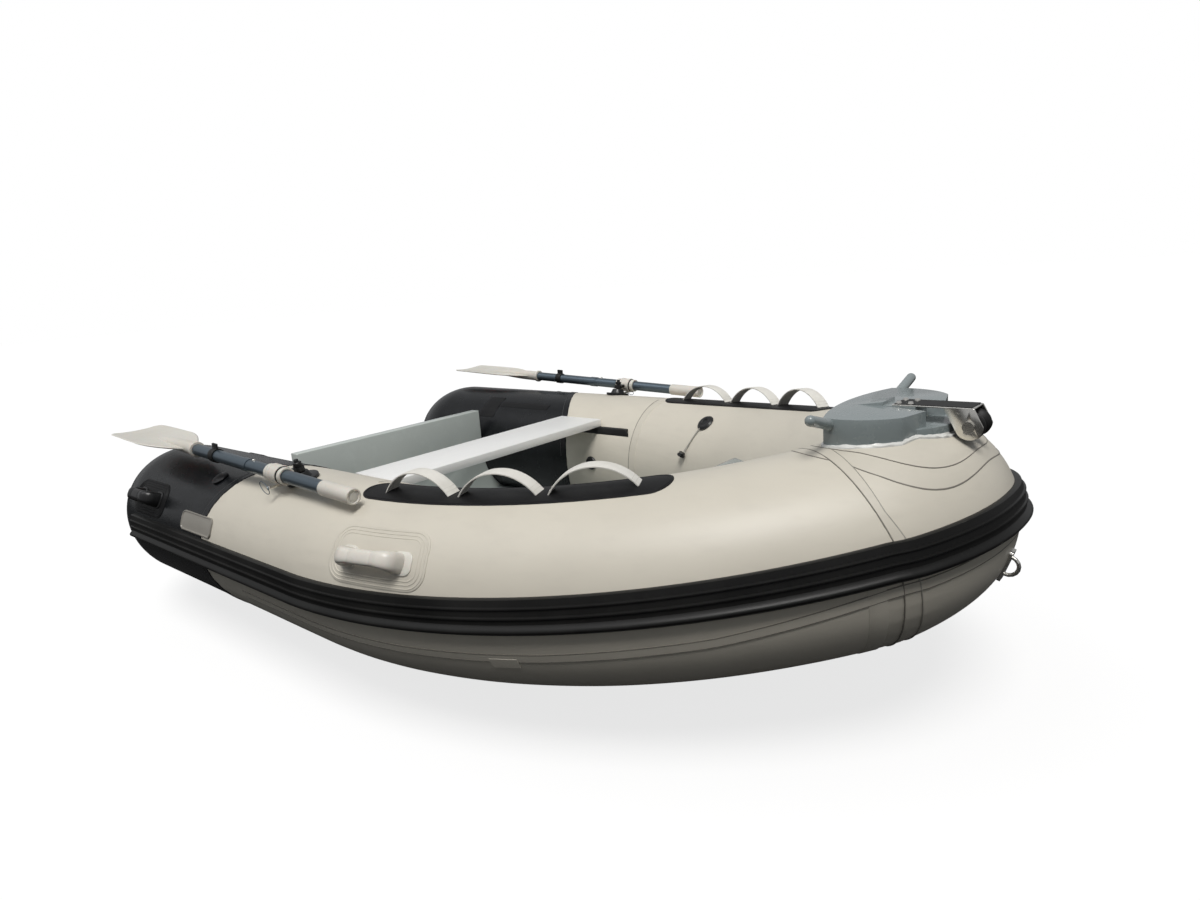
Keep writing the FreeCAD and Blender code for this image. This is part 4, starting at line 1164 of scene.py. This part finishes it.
# %% Outlines round the step
def arc_through(first, via, last, count):
    """Points on the circle through three flat points."""
    (ax, ay), (bx, by), (cx, cy) = first, via, last
    d = 2 * (ax * (by - cy) + bx * (cy - ay) + cx * (ay - by))
    aa, bb, cc = ax * ax + ay * ay, bx * bx + by * by, cx * cx + cy * cy
    ux = (aa * (by - cy) + bb * (cy - ay) + cc * (ay - by)) / d
    uy = (aa * (cx - bx) + bb * (ax - cx) + cc * (bx - ax)) / d
    start, stop = math.atan2(ay - uy, ax - ux), math.atan2(cy - uy, cx - ux)
    if abs(stop - start) > math.pi:
        stop += math.copysign(2 * math.pi, start - stop)
    r = math.hypot(ax - ux, ay - uy)
    return [(ux + r * math.cos(a), uy + r * math.sin(a)) for a in spread(start, stop, count)]


arc_points = 24
flank_of_step = arc_through((2.032, 0.184), (2.105, 0.184), (2.172, 0.135), arc_points)
nose_of_step = arc_through((2.185, 0.095), (2.226, 0.0), (2.185, -0.095), arc_points)
back_of_step = arc_through((2.032, -0.184), (2.000, 0.0), (2.032, 0.184), arc_points)
other_flank = [(x, -y) for x, y in reversed(flank_of_step)]
step_outline = flank_of_step + nose_of_step + other_flank + back_of_step[1:-1]


def foot_reach(angle):
    """Distance from the middle of the step to its outline, in a direction."""
    dx, dy = math.cos(angle), math.sin(angle)
    best = 0.0
    for (x0, y0), (x1, y1) in zip(step_outline, step_outline[1:] + step_outline[:1]):
        ex, ey = x1 - x0, y1 - y0
        across = dx * ey - dy * ex
        if abs(across) < 1e-9:
            continue
        wx, wy = x0 - step_middle[0], y0 - step_middle[1]
        t = (wx * ey - wy * ex) / across
        u = (wx * dy - wy * dx) / across
        if t > 0 and -1e-6 <= u <= 1 + 1e-6:
            best = max(best, t)
    return best


def step_edge(grow):
    """The outline of the foot, grown or shrunk."""
    return lambda angle: foot_reach(angle) + grow


def oval(front, aft, half_width, grow=0.0, power=2.8):
    """Reach of a rounded outline from the middle of the step, by direction."""
    def reach(angle):
        length = (front if math.cos(angle) > 0 else aft) + grow
        along, across = abs(math.cos(angle)) / length, abs(math.sin(angle)) / (half_width + grow)
        return (along ** power + across ** power) ** (-1 / power)
    return reach


print("outline of", len(step_outline), "points")

# %% Sheets under the step
step_ways = 180
sheet_under = -0.0015
hidden_top = Vector((step_middle[0] - middle_length, 0, 0.620))
hidden_under = Vector((step_middle[0] - middle_length, 0, 0.618))


def foot_sheet(name, inner, outer, lift, finish, wobble=0.0, steps=5):
    """A sheet between two outlines, each a reach from the middle of the step by direction."""
    rows = []
    for way in range(step_ways):
        angle = 2 * math.pi * way / step_ways
        top, under = [], []
        for i, reach in enumerate(spread(inner(angle), outer(angle), steps + 1)):
            high = lift if i < steps else lift * 0.2
            loose = wobble * noise.noise(Vector((way * 0.35, i * 0.7, 3.0)))
            upper = dropped(angle, reach, high + loose)
            lower = dropped(angle, reach, sheet_under)
            if upper is None:
                upper = top[-1] if top else hidden_top
                lower = under[-1] if under else hidden_under
            top.append(upper)
            under.append(lower)
        rows.append(top + list(reversed(under)))
    rows.append(rows[0])
    points, faces = skin(rows, capped=False)
    return add_piece(name, points, faces, finish)


sheet_start = oval(0.06, 0.05, 0.06)
for label, front, aft, half_width, high, steps in (("outer", 0.197, 0.165, 0.243, 0.0010, 18),
                                                   ("inner", 0.176, 0.130, 0.203, 0.0020, 14)):
    foot_sheet("step_patch_" + label, sheet_start, oval(front, aft, half_width), high, pale_tape,
               steps=steps)
    line_inside = oval(front, aft, half_width, -0.0008)
    line_outside = oval(front, aft, half_width, 0.0010)
    foot_sheet("step_patch_line_" + label, line_inside, line_outside, high + 0.0002, seam_line,
               steps=2)
print("patches under the step")

# %% [markdown]
# The step is bedded in glossy filler that squeezed out all round its foot and was wiped by hand.
# A bead of even thickness would look like a moulding, so its height wanders with a fixed noise.

# %% Filler bead
filler = moulded("filler", (0.70, 0.70, 0.67, 1), (0.50, 0.49, 0.46, 1), 0.14, 200.0, 0.0002)
filler_height = 0.0052
filler_wander = 0.0034
foot_sheet("step_filler", step_edge(-0.004), step_edge(0.0080), filler_height, filler,
           wobble=filler_wander)
print("filler laid")

# %% [markdown]
# ## Oars
# The blades are blow-moulded: a cupped sheet with a bead round its edge and a hollow spine that
# runs out of the socket. The sheet is skinned from cross-sections with a rounded edge, and the
# spine is turned like a lathe piece along the shaft, then both are laid on the oar's own axis.

# %% Blades
shaft_aft = 0.473
blade_socket = 0.052
blade_length = 0.470
blade_half_width = 0.084
blade_cup = 0.007
blade_thick = 0.0062
tip_start = 0.94
tip_span = 0.06
spine_radius = 0.0195
spine_tip_radius = 0.0028
spine_length = 0.235
shoulder_share = 0.46
rowlock_station = 0.815
oar_reach = 0.258
oar_pitch = math.radians(2.4)
oar_lean = math.radians(66.0)


def oar_matrix(side):
    x = rowlock_station - middle_length
    y = side * (half_spacing + oar_reach * math.cos(oar_lean))
    z = axis_height + oar_reach * math.sin(oar_lean)
    return Matrix.Translation((x, y, z)) @ Matrix.Rotation(oar_pitch, 4, "Y")


def blade_share(run):
    if run < shoulder_share:
        return 0.25 + 0.75 * math.sin(math.pi / 2 * run / shoulder_share)
    return 1 - 0.06 * ((run - shoulder_share) / (1 - shoulder_share)) ** 3


def blade_rows():
    span = blade_length - blade_socket
    rows = []
    for run in spread(0.0, 1.0, 44):
        share = blade_share(run)
        if run > tip_start:
            share *= 1 - 0.26 * ((run - tip_start) / tip_span) ** 3
        half = blade_half_width * share
        cup = blade_cup * share * share
        thick = blade_thick * (1 - 0.35 * run)
        x = -shaft_aft - blade_socket - span * run
        upper, lower = [], []
        for t in spread(-1.0, 1.0, 33):
            arch = cup * t * t
            edge = 1.25 if abs(t) > 0.93 else 0.8
            half_thick = thick / 2 * edge * math.sqrt(max(1 - t ** 24, 0.0))
            upper.append(Vector((x, half * t, arch + half_thick)))
            lower.append(Vector((x, half * t, arch - half_thick)))
        rows.append(upper + list(reversed(lower[1:-1])))
    return rows


def turned(stations, count=40):
    """Rings about the X axis from (x, radius) pairs."""
    turns = [2 * math.pi * i / count for i in range(count)]
    rows = []
    for x, radius in stations:
        rows.append([Vector((x, radius * math.cos(turn), radius * math.sin(turn))) for turn in turns])
    return rows


def placed(points, matrix):
    return [matrix @ p for p in points]


def join_shells(*shells):
    points, faces = [], []
    for more_points, more_faces in shells:
        shift = len(points)
        points += more_points
        faces += [tuple(shift + i for i in face) for face in more_faces]
    return points, faces


def spine_rings():
    root = -shaft_aft
    mouth = [(0.0003, 0.0190), (0.0010, 0.0222), (0.0030, 0.0234), (0.0100, 0.0234), (0.0120, 0.0212),
             (0.020, 0.0198), (blade_socket, spine_radius)]
    rings = [(root - aft, radius) for aft, radius in mouth]
    for run in spread(0.0, 1.0, 18)[1:]:
        ease = math.cos(math.pi / 2 * run) ** 0.8 if run < 1 else 0.0
        aft = root - blade_socket - spine_length * run
        rings.append((aft, spine_tip_radius + (spine_radius - spine_tip_radius) * ease))
    return rings


for name, side in SIDES.items():
    points, faces = join_shells(skin(blade_rows()), skin(turned(spine_rings())))
    add_piece("blade_" + name, placed(points, oar_matrix(side)), faces, white_plastic,
              "oar_" + name, ["oar_blade_" + name])
print("blades moulded")

# %% [markdown]
# Small hardware of the oars: a spring button where the two halves of the shaft join, a clevis pin
# through the collar's clamp with its dark wire ring, a white band round the clasp and a rounded end
# cap in the grip. Each is turned or swept in the oar's own axis and rides on that oar.

# %% Small hardware of the oars
def ring_rows(radius, wire, count=40, section=12, squash=1.0):
    """A closed wire ring in the XZ plane."""
    rows = []
    for i in range(count):
        a = 2 * math.pi * i / count
        centre = Vector((radius * math.cos(a), 0, radius * squash * math.sin(a)))
        out = Vector((math.cos(a), 0, math.sin(a)))
        row = []
        for j in range(section):
            turn = 2 * math.pi * j / section
            row.append(centre + out * (wire * math.cos(turn)) + Vector((0, wire * math.sin(turn), 0)))
        rows.append(row)
    return rows + rows[:1]


cap_profile = [(0.3330, 0.0150), (0.3336, 0.0146), (0.3338, 0.0100), (0.3350, 0.0092), (0.3353, 0.0060),
               (0.3353, 0.0005)]
half_band = [(0.0112, 0.0247), (0.0120, 0.0256), (0.0205, 0.0256), (0.0215, 0.0246), (0.0215, 0.0200)]
band_profile = [(-x, radius) for x, radius in reversed(half_band)] + half_band
button_profile = [(-0.002, 0.0042), (0.0018, 0.0042), (0.0030, 0.0034), (0.0036, 0.0018), (0.0038, 0.0003)]
pin_profile = [(-0.034, 0.0020), (-0.034, 0.0052), (-0.031, 0.0058), (-0.029, 0.0036), (0.026, 0.0034),
               (0.028, 0.0024)]
button_place = Matrix.Translation((-0.128, 0, 0.0178))
pin_place = Matrix.Translation((0.0, 0.0, -0.0285))
ring_tilt = Matrix.Rotation(math.radians(24), 4, "Y")
stand = Matrix.Rotation(math.radians(-90), 4, "Y")
for name, side in SIDES.items():
    base = oar_matrix(side)
    body = "oar_" + name
    points, faces = skin(turned(cap_profile, 32))
    add_piece("grip_cap_" + name, placed(points, base), faces, white_plastic, body)
    seat = base @ button_place @ stand
    points, faces = skin(turned(button_profile, 20))
    add_piece("snap_button_" + name, placed(points, seat), faces, stainless, body)
    across = Matrix.Rotation(math.radians(-90 * side), 4, "Z")
    seat = base @ pin_place @ across
    points, faces = skin(turned(pin_profile, 20))
    add_piece("clevis_pin_" + name, placed(points, seat), faces, stainless, body)
    hang = base @ Matrix.Translation((-0.018, side * 0.034, -0.030)) @ ring_tilt
    points, faces = skin(ring_rows(0.024, 0.0010, squash=0.50), capped=False)
    add_piece("clevis_ring_" + name, placed(points, hang), faces, oar_alloy, body)
    points, faces = skin(turned(band_profile, 48))
    add_piece("clasp_band_" + name, placed(points, base), faces, white_plastic, body)
print("oar hardware ready")

# %% [markdown]
# ## Carrying handles
# The side handles are thick moulded grips: two broad feet and a bar that bows away from the tube
# and swells where the hand closes. A rounded section is swept along the bow of the handle with its
# width and thickness changing on the way, which gives the soft blends a mould leaves.

# %% Moulded handles
def superellipse(half_width, half_thick, count=28, power=2.6):
    def fuller(value):
        return math.copysign(abs(value) ** (2 / power), value)

    turns = [2 * math.pi * i / count for i in range(count)]
    return [(half_width * fuller(math.cos(a)), half_thick * fuller(math.sin(a))) for a in turns]


def between(a, b, c, d, u):
    """Catmull-Rom value between b and c, with a before and d after them."""
    cubic = (3 * b - a - 3 * c + d) * u ** 3
    return 0.5 * ((2 * b) + (c - a) * u + (2 * a - 5 * b + 4 * c - d) * u * u + cubic)


def smooth_path(knots, count):
    """A smooth curve through rows of numbers."""
    rows = []
    spans = len(knots) - 1
    for i in range(count):
        t = i / (count - 1) * spans
        k = min(int(t), spans - 1)
        near = (knots[max(k - 1, 0)], knots[k], knots[k + 1], knots[min(k + 2, spans)])
        rows.append([between(a, b, c, d, t - k) for a, b, c, d in zip(*near)])
    return rows


handle_rows = 64
handle_rise = 0.046
handle_lift = 0.002
foot_inset = 0.016


def handle_shell(length, rise):
    """Half a handle as (along, away, half width, half thickness), mirrored to the other end."""
    reach = length / 2
    half = [(reach - foot_inset, -0.004, 0.023, 0.0175), (reach - foot_inset, 0.010, 0.0225, 0.0170),
            (reach - 0.018, rise * 0.54, 0.021, 0.0155), (reach - 0.031, rise * 0.78, 0.0185, 0.0122),
            (reach - 0.054, rise - 0.011, 0.0165, 0.0106), (reach * 0.25, rise - 0.0105, 0.0170, 0.0112)]
    knots = half + [(-x, z, w, t) for x, z, w, t in reversed(half)]
    path = smooth_path(knots, handle_rows)
    rows = []
    for i, (x, z, wide, thick) in enumerate(path):
        before, after = path[max(i - 1, 0)], path[min(i + 1, len(path) - 1)]
        way = Vector((after[0] - before[0], 0, after[1] - before[1])).normalized()
        out = Vector((way.z, 0, -way.x))
        rows.append([Vector((x, 0, z)) + out * b + Vector((0, a, 0)) for a, b in superellipse(wide, thick)])
    return skin(rows)


def fitting_matrix(side, station, degrees, lift):
    origin, forward, across, away = on_tube(side, station, degrees, lift)
    return Matrix.Translation(origin) @ Matrix((forward, across, away)).transposed().to_4x4()


for name, side in SIDES.items():
    for kind, station, degrees, length, finish, slot, replaced in (
            ("lift_handle_", lift_station, 31.0, 0.176, white_plastic, "white_plastic", "lift_handles"),
            ("stern_handle_", stern_station, 29.0, 0.150, black_plastic, "black_plastic", "stern_handles")):
        points, faces = handle_shell(length, handle_rise)
        points = placed(points, fitting_matrix(side, station, degrees, handle_lift))
        add_piece(kind + name, points, faces, finish, replaced=[replaced])
        for end in (-1, 1):
            pad_name = "%spad_%s_%s" % (kind, name, "fore" if end > 0 else "aft")
            ringed_patch(pad_name, side, station + end * (length / 2 - foot_inset), degrees, 0.026, 0.026,
                         0.018, [(0.0006, 0.0034), (0.0020, 0.0044)], finish)
print("handles moulded")

# %% [markdown]
# ## Fasteners and stitches by Geometry Nodes
# Screw heads and stitches repeat one small shape at many marked points, each turned by the surface
# it sits on. A Geometry Nodes tree does that, built once for each shape: it reads two directions
# stored on every point, lines the small shape up with them, and makes the copies real so that they
# export.

# %% Tree that repeats a small shape
def repeat_tree(name, kind):
    """kind is head, for a screw, or stitch, for a thread."""
    tree = bpy.data.node_groups.new(name, "GeometryNodeTree")
    face = tree.interface
    face.new_socket("Geometry", in_out="INPUT", socket_type="NodeSocketGeometry")
    face.new_socket("Radius", in_out="INPUT", socket_type="NodeSocketFloat")
    face.new_socket("Length", in_out="INPUT", socket_type="NodeSocketFloat")
    face.new_socket("Finish", in_out="INPUT", socket_type="NodeSocketMaterial")
    face.new_socket("Geometry", in_out="OUTPUT", socket_type="NodeSocketGeometry")

    def add(kind_of_node, **settings):
        made = tree.nodes.new(kind_of_node)
        for key, value in settings.items():
            setattr(made, key, value)
        return made

    def join(first, output, second, entry):
        tree.links.new(first.outputs[output], second.inputs[entry])

    entry = add("NodeGroupInput")
    leave = add("NodeGroupOutput")
    spots = add("GeometryNodeMeshToPoints")
    join(entry, "Geometry", spots, "Mesh")
    if kind == "head":
        shape = add("GeometryNodeMeshCone")
        shape.inputs["Vertices"].default_value = 16
        shape.inputs["Side Segments"].default_value = 1
        narrowed = add("ShaderNodeMath", operation="MULTIPLY")
        narrowed.inputs[1].default_value = 0.72
        join(entry, "Radius", narrowed, 0)
        join(narrowed, 0, shape, "Radius Top")
        join(entry, "Radius", shape, "Radius Bottom")
        join(entry, "Length", shape, "Depth")
        shape_out = (shape, "Mesh")
    else:
        shape = add("GeometryNodeMeshUVSphere")
        shape.inputs["Segments"].default_value = 8
        shape.inputs["Rings"].default_value = 5
        shape.inputs["Radius"].default_value = 1.0
        size = add("ShaderNodeCombineXYZ")
        join(entry, "Length", size, "X")
        join(entry, "Radius", size, "Y")
        join(entry, "Radius", size, "Z")
        sized = add("GeometryNodeTransform")
        join(shape, "Mesh", sized, "Geometry")
        join(size, "Vector", sized, "Scale")
        shape_out = (sized, "Geometry")
    away = add("GeometryNodeInputNamedAttribute", data_type="FLOAT_VECTOR")
    away.inputs["Name"].default_value = "away"
    run = add("GeometryNodeInputNamedAttribute", data_type="FLOAT_VECTOR")
    run.inputs["Name"].default_value = "run"
    first = add("FunctionNodeAlignRotationToVector", axis="X")
    join(run, "Attribute", first, "Vector")
    second = add("FunctionNodeAlignRotationToVector", axis="Z", pivot_axis="X")
    join(first, "Rotation", second, "Rotation")
    join(away, "Attribute", second, "Vector")
    copies = add("GeometryNodeInstanceOnPoints")
    join(spots, "Points", copies, "Points")
    join(shape_out[0], shape_out[1], copies, "Instance")
    join(second, "Rotation", copies, "Rotation")
    real = add("GeometryNodeRealizeInstances")
    join(copies, "Instances", real, "Geometry")
    painted = add("GeometryNodeSetMaterial")
    join(real, "Geometry", painted, "Geometry")
    join(entry, "Finish", painted, "Material")
    join(painted, "Geometry", leave, "Geometry")
    return tree


trees = {"head": repeat_tree("screw heads", "head"), "stitch": repeat_tree("stitches", "stitch")}


def repeated(name, kind, spots, radius, length, finish, body="boat"):
    """spots is a list of (point, run, away)."""
    mesh = bpy.data.meshes.new(name)
    mesh.from_pydata([tuple(point) for point, run, away in spots], [], [])
    for key, index in (("run", 1), ("away", 2)):
        layer = mesh.attributes.new(key, "FLOAT_VECTOR", "POINT")
        for i, spot in enumerate(spots):
            layer.data[i].vector = spot[index]
    piece = bpy.data.objects.new(name, mesh)
    bpy.context.scene.collection.objects.link(piece)
    made = piece.modifiers.new("repeat", "NODES")
    made.node_group = trees[kind]
    inputs = [item for item in trees[kind].interface.items_tree if item.in_out == "INPUT"]
    sockets = {item.name: item.identifier for item in inputs}
    made[sockets["Radius"]] = radius
    made[sockets["Length"]] = length
    made[sockets["Finish"]] = finish
    evaluated = piece.evaluated_get(bpy.context.evaluated_depsgraph_get())
    plain = bpy.data.meshes.new_from_object(evaluated)
    piece.modifiers.clear()
    piece.data = plain
    plain.name = name
    return dress(piece, finish, body)


print("trees ready")

# %% [markdown]
# The arches are sewn through at both ends with two rows of thread across the webbing. A stitch is
# a small stretched sphere, which is enough at the size of a thread.

# %% Stitches
thread = moulded("thread", (0.62, 0.60, 0.54, 1), (0.40, 0.38, 0.33, 1), 0.7, 2500.0)
thread_radius = 0.00055
stitch_length = 0.0016
stitched_rows = (2, 4, arch_steps - 5, arch_steps - 3)
for name, side in SIDES.items():
    spots = []
    for station in grab_middles:
        path = arch_path(side, station)
        for index in stitched_rows:
            point, across, out = path[index]
            for share in spread(-0.82, 0.82, 10):
                top = point + across * (grab_half_width * share) + out * (grab_thick * 0.62)
                spots.append((top, across, out))
    repeated("grab_stitches_" + name, "stitch", spots, thread_radius, stitch_length, thread)
print(2 * len(spots), "stitches")

# %% [markdown]
# Screws hold the tow eyes, the motor pad and the drain to the aft face of the transom, and four
# bolts hold the roller's bracket to the step. All are the same low cone, with its own size.

# %% Screws and bolts
transom_front = 0.300
transom_thick = 0.040
aft_face = transom_front - transom_thick - 0.0006 - middle_length
eye_spacing, eye_height = 0.330, 0.250
pad_height = axis_height + 0.154 - 0.085
drain_height, drain_circle = 0.176, 0.0185
eye_plate, pad_plate = 0.0045, 0.0085
aft = Vector((-1, 0, 0))
up = Vector((0, 0, 1))
screws = []
for side in SIDES.values():
    for dy in (-0.010, 0.010):
        y = side * eye_spacing + dy
        for dz in (-0.026, 0.026):
            screws.append((Vector((aft_face - eye_plate, y, eye_height + dz)), up, aft))
for dy in (-0.110, 0.110):
    for dz in (-0.070, 0.070):
        screws.append((Vector((aft_face - pad_plate, dy, pad_height + dz)), up, aft))
for turn in (90, 210, 330):
    a = math.radians(turn)
    y, z = drain_circle * math.cos(a), drain_height + drain_circle * math.sin(a)
    screws.append((Vector((aft_face - eye_plate, y, z)), up, aft))
repeated("transom_screws", "head", screws, 0.0045, 0.0022, stainless)
bracket_top = axis_height + 0.360
bolt_stations = (2.122, 2.146)
bolts = []
for x in bolt_stations:
    for y in (-0.020, 0.020):
        bolts.append((Vector((x - middle_length, y, bracket_top + 0.0033)), Vector((1, 0, 0)), up))
repeated("bracket_bolts", "head", bolts, 0.0062, 0.0050, stainless)
print(len(screws), "screws and", len(bolts), "bolts")

# %% [markdown]
# ## Valves
# An inflation valve is a seat welded into the fabric, turned here like a lathe piece. The forward
# one carries a cap that hangs off it on a short strap, as in the picture; both sides are made the
# same. The strap is swept along the tube and sags a little between its ends.

# %% Valves and caps
cap_shape = [(0.0, 0.0002), (0.0, 0.0115), (0.0012, 0.0125), (0.0045, 0.0125), (0.0058, 0.0115),
             (0.0060, 0.0090), (0.0075, 0.0088), (0.0100, 0.0082), (0.0105, 0.0100), (0.0118, 0.0105),
             (0.0130, 0.0095), (0.0134, 0.0002)]
flange_shape = [(0.0002, 0.0010), (0.0002, 0.0270), (0.0014, 0.0288), (0.0024, 0.0288), (0.0036, 0.0262),
                (0.0066, 0.0246), (0.0074, 0.0232), (0.0074, 0.0150), (0.0060, 0.0128), (0.0042, 0.0120),
                (0.0040, 0.0002)]
valves = (("high", 1.395, 128.0, 1.0), ("low", 0.884, 178.0, 0.84))
strap_from = (1.390, 133.5)
strap_to = (1.356, 157.0)
cap_turn = Matrix.Rotation(math.radians(62), 4, "Z")
for name, side in SIDES.items():
    for label, station, degrees, share in valves:
        seat = fitting_matrix(side, station, degrees, 0.0) @ stand
        points, faces = skin(turned([(x, r * share) for x, r in flange_shape], 48))
        add_piece("valve_%s_%s" % (label, name), placed(points, seat), faces, black_plastic,
                  replaced=["valves"])
    path = []
    for t in spread(0.0, 1.0, 18):
        station, degrees = [a + (b - a) * t for a, b in zip(strap_from, strap_to)]
        cut = Section(side, station)
        lift = 0.0062 - 0.0035 * math.sin(math.pi * t) + 0.0010 * t
        path.append((cut.point(degrees, lift), cut.forward, cut.normal(degrees)))
    strap_sweep("valve_strap_" + name, path, 0.0022, 0.0012, patch_grey)
    hang = fitting_matrix(side, 1.350, 161.0, 0.0135) @ cap_turn
    points, faces = skin(turned(cap_shape, 32))
    add_piece("valve_cap_" + name, placed(points, hang), faces, black_plastic)
print("valves fitted")

# %% [markdown]
# ## Roller
# The roller is moulded rubber with two round flares and a hollow waist, turned from half a profile
# with soft shoulders that is mirrored to the other flare.

# %% Roller
roller_station = 2.262
roller_place = Vector((roller_station - middle_length, 0, axis_height + 0.3265))
roller_half = [(0.0250, 0.0061), (0.0250, 0.0235), (0.0243, 0.0262), (0.0222, 0.0282), (0.0195, 0.0280),
               (0.0160, 0.0255), (0.0120, 0.0215), (0.0085, 0.0178), (0.0045, 0.0156), (0.0, 0.0150)]
roller_shape = roller_half + [(-x, r) for x, r in reversed(roller_half[:-1])]
rows = turned(roller_shape, 56)
points, faces = skin(rows + rows[:1], capped=False)
athwart = Matrix.Translation(roller_place) @ Matrix.Rotation(math.radians(90), 4, "Z")
add_piece("roller_rubber", placed(points, athwart), faces, black_rubber, "anchor_roller",
          ["anchor_roller"])
print("roller of", len(roller_shape), "points")

# %% [markdown]
# ## Rowlock tops, transom patches and cone discs
# The rowlock pins end in a washer and a thick knob. Black patches bond the upper corners of the
# transom to the tubes, and a round disc closes the tip of each stern cone.

# %% Rowlock knobs, patches and discs
knob_shape = [(0.0, 0.0002), (0.0, 0.0125), (0.0020, 0.0130), (0.0024, 0.0100), (0.0030, 0.0098),
              (0.0040, 0.0112), (0.0095, 0.0112), (0.0108, 0.0100), (0.0112, 0.0045), (0.0150, 0.0042),
              (0.0156, 0.0030), (0.0157, 0.0002)]
disc_shape = [(-0.0002, 0.0080), (0.0, 0.055), (0.0012, 0.0562), (0.0020, 0.0550), (0.0020, 0.0080)]
corner_line = [(0.246, 128.0), (0.330, 128.0)]
knob_angle, knob_lift = 78.0, 0.0385
about_face = Matrix.Rotation(math.pi, 4, "Z")
for name, side in SIDES.items():
    top = fitting_matrix(side, rowlock_station, knob_angle, knob_lift) @ stand
    points, faces = skin(turned(knob_shape, 36))
    add_piece("rowlock_knob_" + name, placed(points, top), faces, black_plastic)
    long_tape("transom_patch_" + name, side, along(corner_line, 14), 0.110, black_patch,
              0.0016)
    points, faces = skin(turned(disc_shape, 64))
    tip = Matrix.Translation((-cone_length - middle_length, side * half_spacing, axis_height)) @ about_face
    add_piece("cone_disc_" + name, placed(points, tip), faces, black_patch)
print("knobs, patches and discs fitted")

# %% [markdown]
# A thin strip of black sheet on the top of the polished bracket is painted reflection: it paints the dark
# look of the polished top, so that only its turned-down sides and its lip shine. It is one flat section,
# drawn from the step to above the roller's axle.

# %% Bracket top, painted dark
# painted dark reflection: this black sheet stands in for the dark look of the polished bracket top
dark_top_height = bracket_top + 0.0034
dark_top_section = ((-0.0300, 0.0), (-0.0300, 0.0010), (0.0, 0.0012), (0.0300, 0.0010), (0.0300, 0.0))
dark_top_aft, dark_top_front = roller_station - 0.146, roller_station + 0.004
rows = []
for x in spread(dark_top_aft, dark_top_front, 8):
    rows.append([Vector((x - middle_length, y, dark_top_height + thick)) for y, thick in dark_top_section])
points, faces = skin(rows)
# the black sheet is painted dark reflection on the polished top, not a real cover
add_piece("bracket_cover", points, faces, black_rubber)
print("cover", round(dark_top_front - dark_top_aft, 3), "m long")

# %% [markdown]
# ## Floor
# The boat stands on a plain pale floor that runs far behind it, so that no edge shows. The camera
# sees a pale surface that takes shadows and glows enough to meet the white background without a
# horizon. All other rays find it dark, so that it throws no light up under the tubes.

# %% Floor
floor_size = 30.0
glow_strength = 1.04
glow_share = 0.74
floor_mesh = bpy.data.meshes.new("floor")
corners = [(x * floor_size, y * floor_size, 0) for x, y in ((-1, -1), (1, -1), (1, 1), (-1, 1))]
floor_mesh.from_pydata(corners, [], [(0, 1, 2, 3)])
floor = bpy.data.objects.new("floor", floor_mesh)
bpy.context.scene.collection.objects.link(floor)
paving = Finish("floor_white", 0.9, Specular_IOR_Level=0.05)
shadow_greys = ((0.030, 0.030, 0.030, 1), (0.036, 0.036, 0.036, 1))
paving.feed("Base Color", paving.blend(paving.cloud(0.8, 2.0), *shadow_greys))
white = {"Color": (1, 1, 1, 1), "Strength": glow_strength}
pale = paving.node("ShaderNodeBsdfDiffuse", {}, {"Color": (0.93, 0.93, 0.93, 1)})
glow = paving.node("ShaderNodeEmission", {}, white)
softened = paving.node("ShaderNodeMixShader", {}, {0: glow_share, 1: pale, 2: glow})
seen_by = paving.node("ShaderNodeLightPath", output="Is Camera Ray")
own = Wire(paving, paving.shader.outputs[0])
by_ray = paving.node("ShaderNodeMixShader", {}, {0: seen_by, 1: own, 2: softened})
paving.tree.links.new(by_ray.socket, paving.tree.nodes["Material Output"].inputs["Surface"])
floor_mesh.materials.append(paving.material)

# %% [markdown]
# ## Look
# The Standard view shows a colour as it is written.

# %% View
bpy.context.scene.view_settings.view_transform = "Standard"

# %% Update the scene
bpy.context.view_layer.update()
